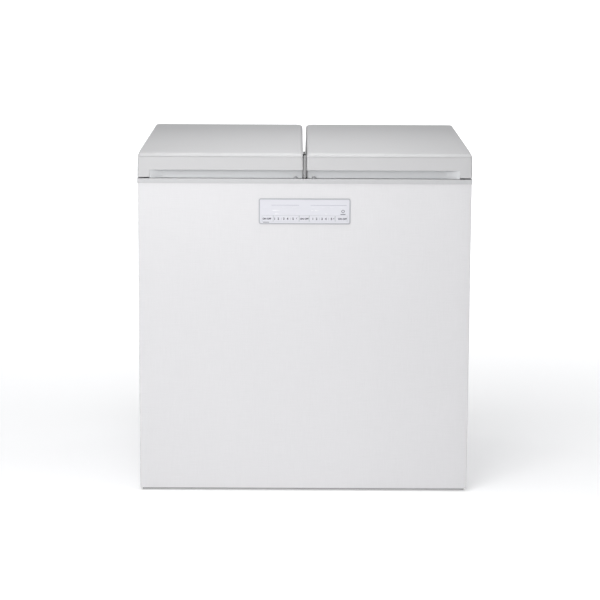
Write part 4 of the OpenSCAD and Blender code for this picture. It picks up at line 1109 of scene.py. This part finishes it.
hoods = [hood(x, SLOT_Z0 + i * SLOT_PITCH) for x in SLOT_XS for i in range(SLOT_ROWS)]
points, faces = surface(hoods, wrap=False)
add_piece("louvre_hoods", points, faces, "cabinet", REAR_STEEL)
soften("machine_room_cover", 0, REAR_STEEL, smooth=8)
print("hoods:", len(hoods))

# %% [markdown]
# ## Condenser fan
# A fan blade is a lens-shaped section that is stacked from the hub to the tip. Towards the tip
# the section grows longer and lies flatter, as the air there moves faster. The section's chord
# turns about the radial line by the pitch, which falls from 42 to 24 degrees. A twisted flat
# plate would be simpler, but its edge would be sharp and its thickness the same all over.

# %% Condenser fan
fan_low, fan_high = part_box("fan_blade")
FAN_AT = np.array(joint_place("fan_spin"))
BLADES, BLADE_ROOT, BLADE_TIP = 5, 13 * MM, 72.5 * MM
BLADE_PITCH, BLADE_TWIST = 42, 18
CHORD_ROOT, CHORD_GROWTH, BLADE_AHEAD = 9.5 * MM, 4.2 * MM, 6 * MM


def blade(turn):
    """Rows go around the lens: half chord times cosine, thickness times sine, with the front
    side fuller. Columns go out along the radius. Then the blade turns about X by its angle."""
    out = np.linspace(0, 1, 16)
    radius = BLADE_ROOT + out * (BLADE_TIP - BLADE_ROOT)
    chord = CHORD_ROOT + CHORD_GROWTH * np.sin(out * 2.6)
    pitch = np.radians(BLADE_PITCH - BLADE_TWIST * out)
    a = np.linspace(0, 2 * math.pi, 20, endpoint=False)[:, None]
    along = chord * np.cos(a)
    thick = 0.9 * MM * np.sin(a) + 1.1 * MM * np.sin(a / 2) ** 2 - 0.5 * MM
    x = BLADE_AHEAD + along * np.sin(pitch) + thick * np.cos(pitch)
    side = along * np.cos(pitch) - thick * np.sin(pitch)
    y = radius * math.cos(turn) - side * math.sin(turn)
    z = radius * math.sin(turn) + side * math.cos(turn)
    return np.moveaxis(np.stack([x, y, z], -1) + FAN_AT, 1, 0)


hub = np.array([(2.05, -7), (15, -7), (15.8, -6.4), (16, -5.4), (16, 17.4), (15.2, 18.6),
                (13.4, 19), (5, 19), (4.4, 18.4), (4.2, 17), (2.05, 17), (2.05, -7)]) * MM
blades = [blade(2 * math.pi * i / BLADES) for i in range(BLADES)]
points, faces = surface(blades, cap="both")
more, more_faces = surface([turned(hub, 48, FAN_AT, "X")])
faces += [[i + len(points) for i in face] for face in more_faces]
fan = add_piece("fan_wheel", np.vstack([points, more]), faces, "condenser_fan", WHITE_PLASTIC)
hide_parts("fan_blade")
print("fan:", len(fan.data.polygons), "faces, room to the node's edge:",
      round((fan_high.z - fan_low.z) / 2 - BLADE_TIP, 4))

# %% [markdown]
# ## Gap strip and deck domes
# A narrow grey lip on the left lid shows in the gap between the two lids. It stops short of
# the right lid, so each lid opens alone. Two small rubber domes stand on the deck beside it.

# %% Gap strip and deck domes
deck_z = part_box("top_frame")[1].z
GAP_HALF, GAP_Y0, GAP_Y1 = 2.9 * MM, LID_Y0 + 3 * MM, LID_Y0 + 40 * MM
GAP_Z0, GAP_Z1 = deck_z + 1.4 * MM, 952 * MM
DOME_X, DOME_R, DOME_H, DOME_Y = 25.4 * MM, 6 * MM, 7 * MM, LID_Y0 + 9 * MM

# The lip is what shows; the web joins it to the left lid's inner side
lip = slab(-GAP_HALF, GAP_HALF, GAP_Y0, GAP_Y1, GAP_Z0, GAP_Z1, 1.2 * MM, 0.8 * MM)
web = slab(LID_X1 - 1.9 * MM, 1 * MM - GAP_HALF, GAP_Y0 + 6 * MM, GAP_Y1 - 6 * MM,
           deck_z + 12 * MM, GAP_Z1 - 8 * MM, 0.8 * MM, 0.5 * MM)
points, faces = surface([lip, web], cap="both")
add_piece("lid_gap_strip", points, faces, "left_lid", GAP_RUBBER)
a = np.linspace(0, math.pi / 2, 9)
dome = np.column_stack([np.append(DOME_R * np.cos(a), 0), np.append(DOME_H * np.sin(a), DOME_H)])
dome = np.vstack([[0, 0], dome])
domes = [turned(dome, 32, (x, DOME_Y, deck_z)) for x in (-DOME_X, DOME_X)]
points, faces = surface(domes)
add_piece("deck_domes", points, faces, "cabinet", SEAL_VINYL)
print("gap strip:", round((GAP_Z1 - GAP_Z0) / MM, 1), "mm high")

# %% [markdown]
# ## Plain materials for the nodes that keep their own mesh
# Small inner parts have the right form already. They take a finish by their material slot,
# and the ones that show at the hinges or through the louvres have their edges rounded.
# A finish goes on the object's own slots, so the loaded mesh stays as it is. In the second
# list each node has the width in millimetres that its edges are rounded by.

# %% Nodes that keep their mesh
KEYS, FILM_EDGE = range(1, 6), 0.12
KEEP = {
    "cabinet_foam": FOAM, "left_lid_foam": FOAM, "right_lid_foam": FOAM,
    "left_evaporator_pipe": ALUMINIUM, "right_evaporator_pipe": ALUMINIUM,
    "refrigerant_pipes": COPPER, "condenser_coil": BLACK_ENAMEL, "condenser_fins": ALUMINIUM,
    "hinge_pins": ZINC, "display_board": BOARD_GREEN, "main_board": BOARD_GREEN,
    "compressor_grommets": DARK_RUBBER, "fan_motor": BLACK_ENAMEL,
}
for node, material in KEEP.items():
    for slot in NODES[node].material_slots:
        slot.link = "OBJECT"
        slot.material = material
SOFT = {
    "hinge_bases": (0.6, ZINC), "left_hinge_arms": (0.5, ZINC), "right_hinge_arms": (0.5, ZINC),
    "tub_sensor_covers": (1.0, WHITE_PLASTIC), "main_board_box": (1.5, WHITE_PLASTIC),
    "fan_shroud": (0.8, GREY_PLASTIC), "compressor": (0.8, BLACK_ENAMEL),
    "roller_brackets": (0.5, ZINC), "lid_bumpers": (0.9, SEAL_VINYL),
    # The bezel's darker grey is partly painted shade: the shadow in the gap around the control
    # panel.
    "control_bezel": (0.45, BEZEL_AND_GAP_SHADE), "control_fascia": (FILM_EDGE, FASCIA_FILM),
    "left_lid_liner": (1.6, LINER_PLASTIC), "right_lid_liner": (1.6, LINER_PLASTIC),
    "left_inner_tub": (1.2, TUB_METAL), "right_inner_tub": (1.2, TUB_METAL),
}
for node, (width, material) in SOFT.items():
    soften(node, width * MM, material)
for i in KEYS:
    soften(f"key_{i}", FILM_EDGE * MM, FASCIA_FILM)
print("kept:", len(KEEP), "softened:", len(SOFT) + len(KEYS))

# %% [markdown]
# ## Control panel
# The bezel, the film over the display and the five keys keep their working forms. On the film
# lie very thin plates: fine rules, short bars where the captions stand, and plain numbers and ON
# or OFF along the keys, all print; the white marks over the lamps are painted light, the glow of
# lit lamps in a colour with no light of its own. A plate on a key rides on that key, so it moves
# with it. The plates are placed by a column and a row of the photograph, which the named scale
# turns into millimetres. Plates are chosen over a picture on the film because they need no file
# and stay sharp close up.

# %% Where a print lies
# Millimetres to a pixel, the column of the front's middle, and a row with its height in mm
PX_MM, PX_MID, PX_ROW, ROW_Z = 2.81, 304.8, 197.6, 834.6
PRINT_T, PRINT_SUNK = 0.05 * MM, 0.01 * MM
fascia_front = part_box("control_fascia")[0].y
key_boxes = {f"button_{i}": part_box(f"key_{i}") for i in KEYS}


def print_place(px, py):
    """X and Z in metres of a column and a row of the photograph, on the front's plane."""
    return (px - PX_MID) * PX_MM * MM, (ROW_Z - (py - PX_ROW) * PX_MM) * MM


def body_under(x, z):
    """The body and the front face that a print at x, z lies on."""
    for body, (low, high) in key_boxes.items():
        if low.x < x < high.x and low.z < z < high.z:
            return body, low.y
    return "cabinet", fascia_front


# %% Rules, captions, marks and ticks
END_ROUND = 0.8
TOP_ROW, CAPTION_ROW, KEY_ROW = 204.3, 206.3, 217.9
CAPTION_PX = ((263.4, 271.4), (274, 280.7), (282.7, 288.7), (292.4, 299.4), (311.7, 318),
              (322, 327.4), (330, 336.7), (339.7, 346.2))
TICK_PX, TICK_HALF = (281.7, 290.9, 319.5, 328.5), 0.2
# Each kind of bar: its name, height in mm and ink, then first column, last column and row
BARS = (
    ("rule", 1.0, PRINT_GREY, [(272.0, 299.3, TOP_ROW), (310.7, 346.3, TOP_ROW)]),
    ("caption", 1.6, PRINT_PALE, [(px0, px1, CAPTION_ROW) for px0, px1 in CAPTION_PX]),
    # The lamp marks are painted light: a whiter colour for the glow of lit lamps, with no light of
    # their own.
    ("lamp_glow_mark", 2.6, LAMP_GLOW_PAINT, [(273, 280.4, 209.5), (311.4, 313.4, 209.5),
                                     (315, 318.7, 209.5), (275.4, 279.4, 212.8),
                                     (325, 327, 212.8)]),
    ("tick", 7.0, PRINT_FAINT, [(px - TICK_HALF, px + TICK_HALF, KEY_ROW) for px in TICK_PX]),
)


def printed_bar(px0, px1, py, height, material, name):
    """A thin plate with round ends between two columns, centred on a row."""
    x0, z = print_place(px0, py)
    x1 = print_place(px1, py)[0]
    body, face = body_under((x0 + x1) / 2, z)
    h = height * MM / 2
    end = END_ROUND * min(h, (x1 - x0) / 2)
    plate = slab(x0, x1, z - h, z + h, -face - PRINT_SUNK, -face + PRINT_T, end, 2 * PRINT_SUNK, 2)
    points, faces = surface([facing_front(plate)], cap="both")
    add_piece(name, points, faces, body, material)


for name, height, ink, places in BARS:
    for i, place in enumerate(places):
        printed_bar(*place, height, ink, f"{name}_{i + 1}")
print("bars:", sum(len(places) for *_, places in BARS))

# %% Numbers and words
NUMBER_PX = (275.2, 278.8, 284.2, 287.9, 293.4, 297.0, 313.0, 316.6, 322.0, 325.8, 331.4, 333.9)
SWITCH_PX = (267.5, 304.6, 342.2)
NUMBER_H, SWITCH_H = 6.2 * MM, 4.7 * MM
FONT_SIZE, STROKE_GROWTH = 1.4, 0.3 * MM


def printed_word(word, px, height, name):
    """A word along the keys as a mesh: the text's outline, filled, made PRINT_T thick and
    stood upright. The font's size is the height of a capital times FONT_SIZE."""
    x, z = print_place(px, KEY_ROW)
    body, face = body_under(x, z)
    curve = bpy.data.curves.new(name, "FONT")
    curve.body = word
    curve.size = height * FONT_SIZE
    curve.offset = STROKE_GROWTH
    curve.extrude = PRINT_T / 2
    curve.align_x, curve.align_y = "CENTER", "CENTER"
    holder = bpy.data.objects.new(name + "_text", curve)
    mesh = bpy.data.meshes.new_from_object(holder)
    flat = np.empty(len(mesh.vertices) * 3)
    mesh.vertices.foreach_get("co", flat)
    across, upward, out = flat.reshape(-1, 3).T
    points = np.stack([across + x, face - out - PRINT_T / 2 + PRINT_SUNK, upward + z], -1)
    faces = [list(polygon.vertices) for polygon in mesh.polygons]
    bpy.data.objects.remove(holder)
    bpy.data.curves.remove(curve)
    bpy.data.meshes.remove(mesh)
    add_piece(name, points, faces, body, PRINT_DARK)


for i, px in enumerate(NUMBER_PX):
    printed_word(str(i % 6 + 1), px, NUMBER_H, f"number_{i + 1}")
for i, px in enumerate(SWITCH_PX):
    printed_word("ON OFF", px, SWITCH_H, f"switch_word_{i + 1}")
print("words:", len(NUMBER_PX) + len(SWITCH_PX))

# %% Single marks
FOOT_BAR, FOOT_BAR_H = (263.7, 269.7, 221.3), 1.2
ICON_BAR, ICON_BAR_H = (340.2, 345.3, 213.4), 1.7
ICON_RING, ICON_RING_R, ICON_RING_HALF = (342.8, 210.3), 3.7 * MM, 0.65 * MM


def flat_ring(px, py, radius, half):
    """Points of a small flat ring: a rectangular section, radius plus and minus half wide,
    turned about the line of sight."""
    x, z = print_place(px, py)
    inner, outer, thick = radius - half, radius + half, PRINT_T / 2
    section = [(inner, -thick), (outer, -thick), (outer, thick), (inner, thick), (inner, -thick)]
    return turned(section, 36, (x, fascia_front - thick, z), "Y")


printed_bar(*FOOT_BAR, FOOT_BAR_H, PRINT_DARK, "foot_caption")
printed_bar(*ICON_BAR, ICON_BAR_H, PRINT_DARK, "icon_bar")
points, faces = surface([flat_ring(*ICON_RING, ICON_RING_R, ICON_RING_HALF)])
add_piece("icon_ring", points, faces, "cabinet", PRINT_DARK)
print("ring:", len(points), "points")
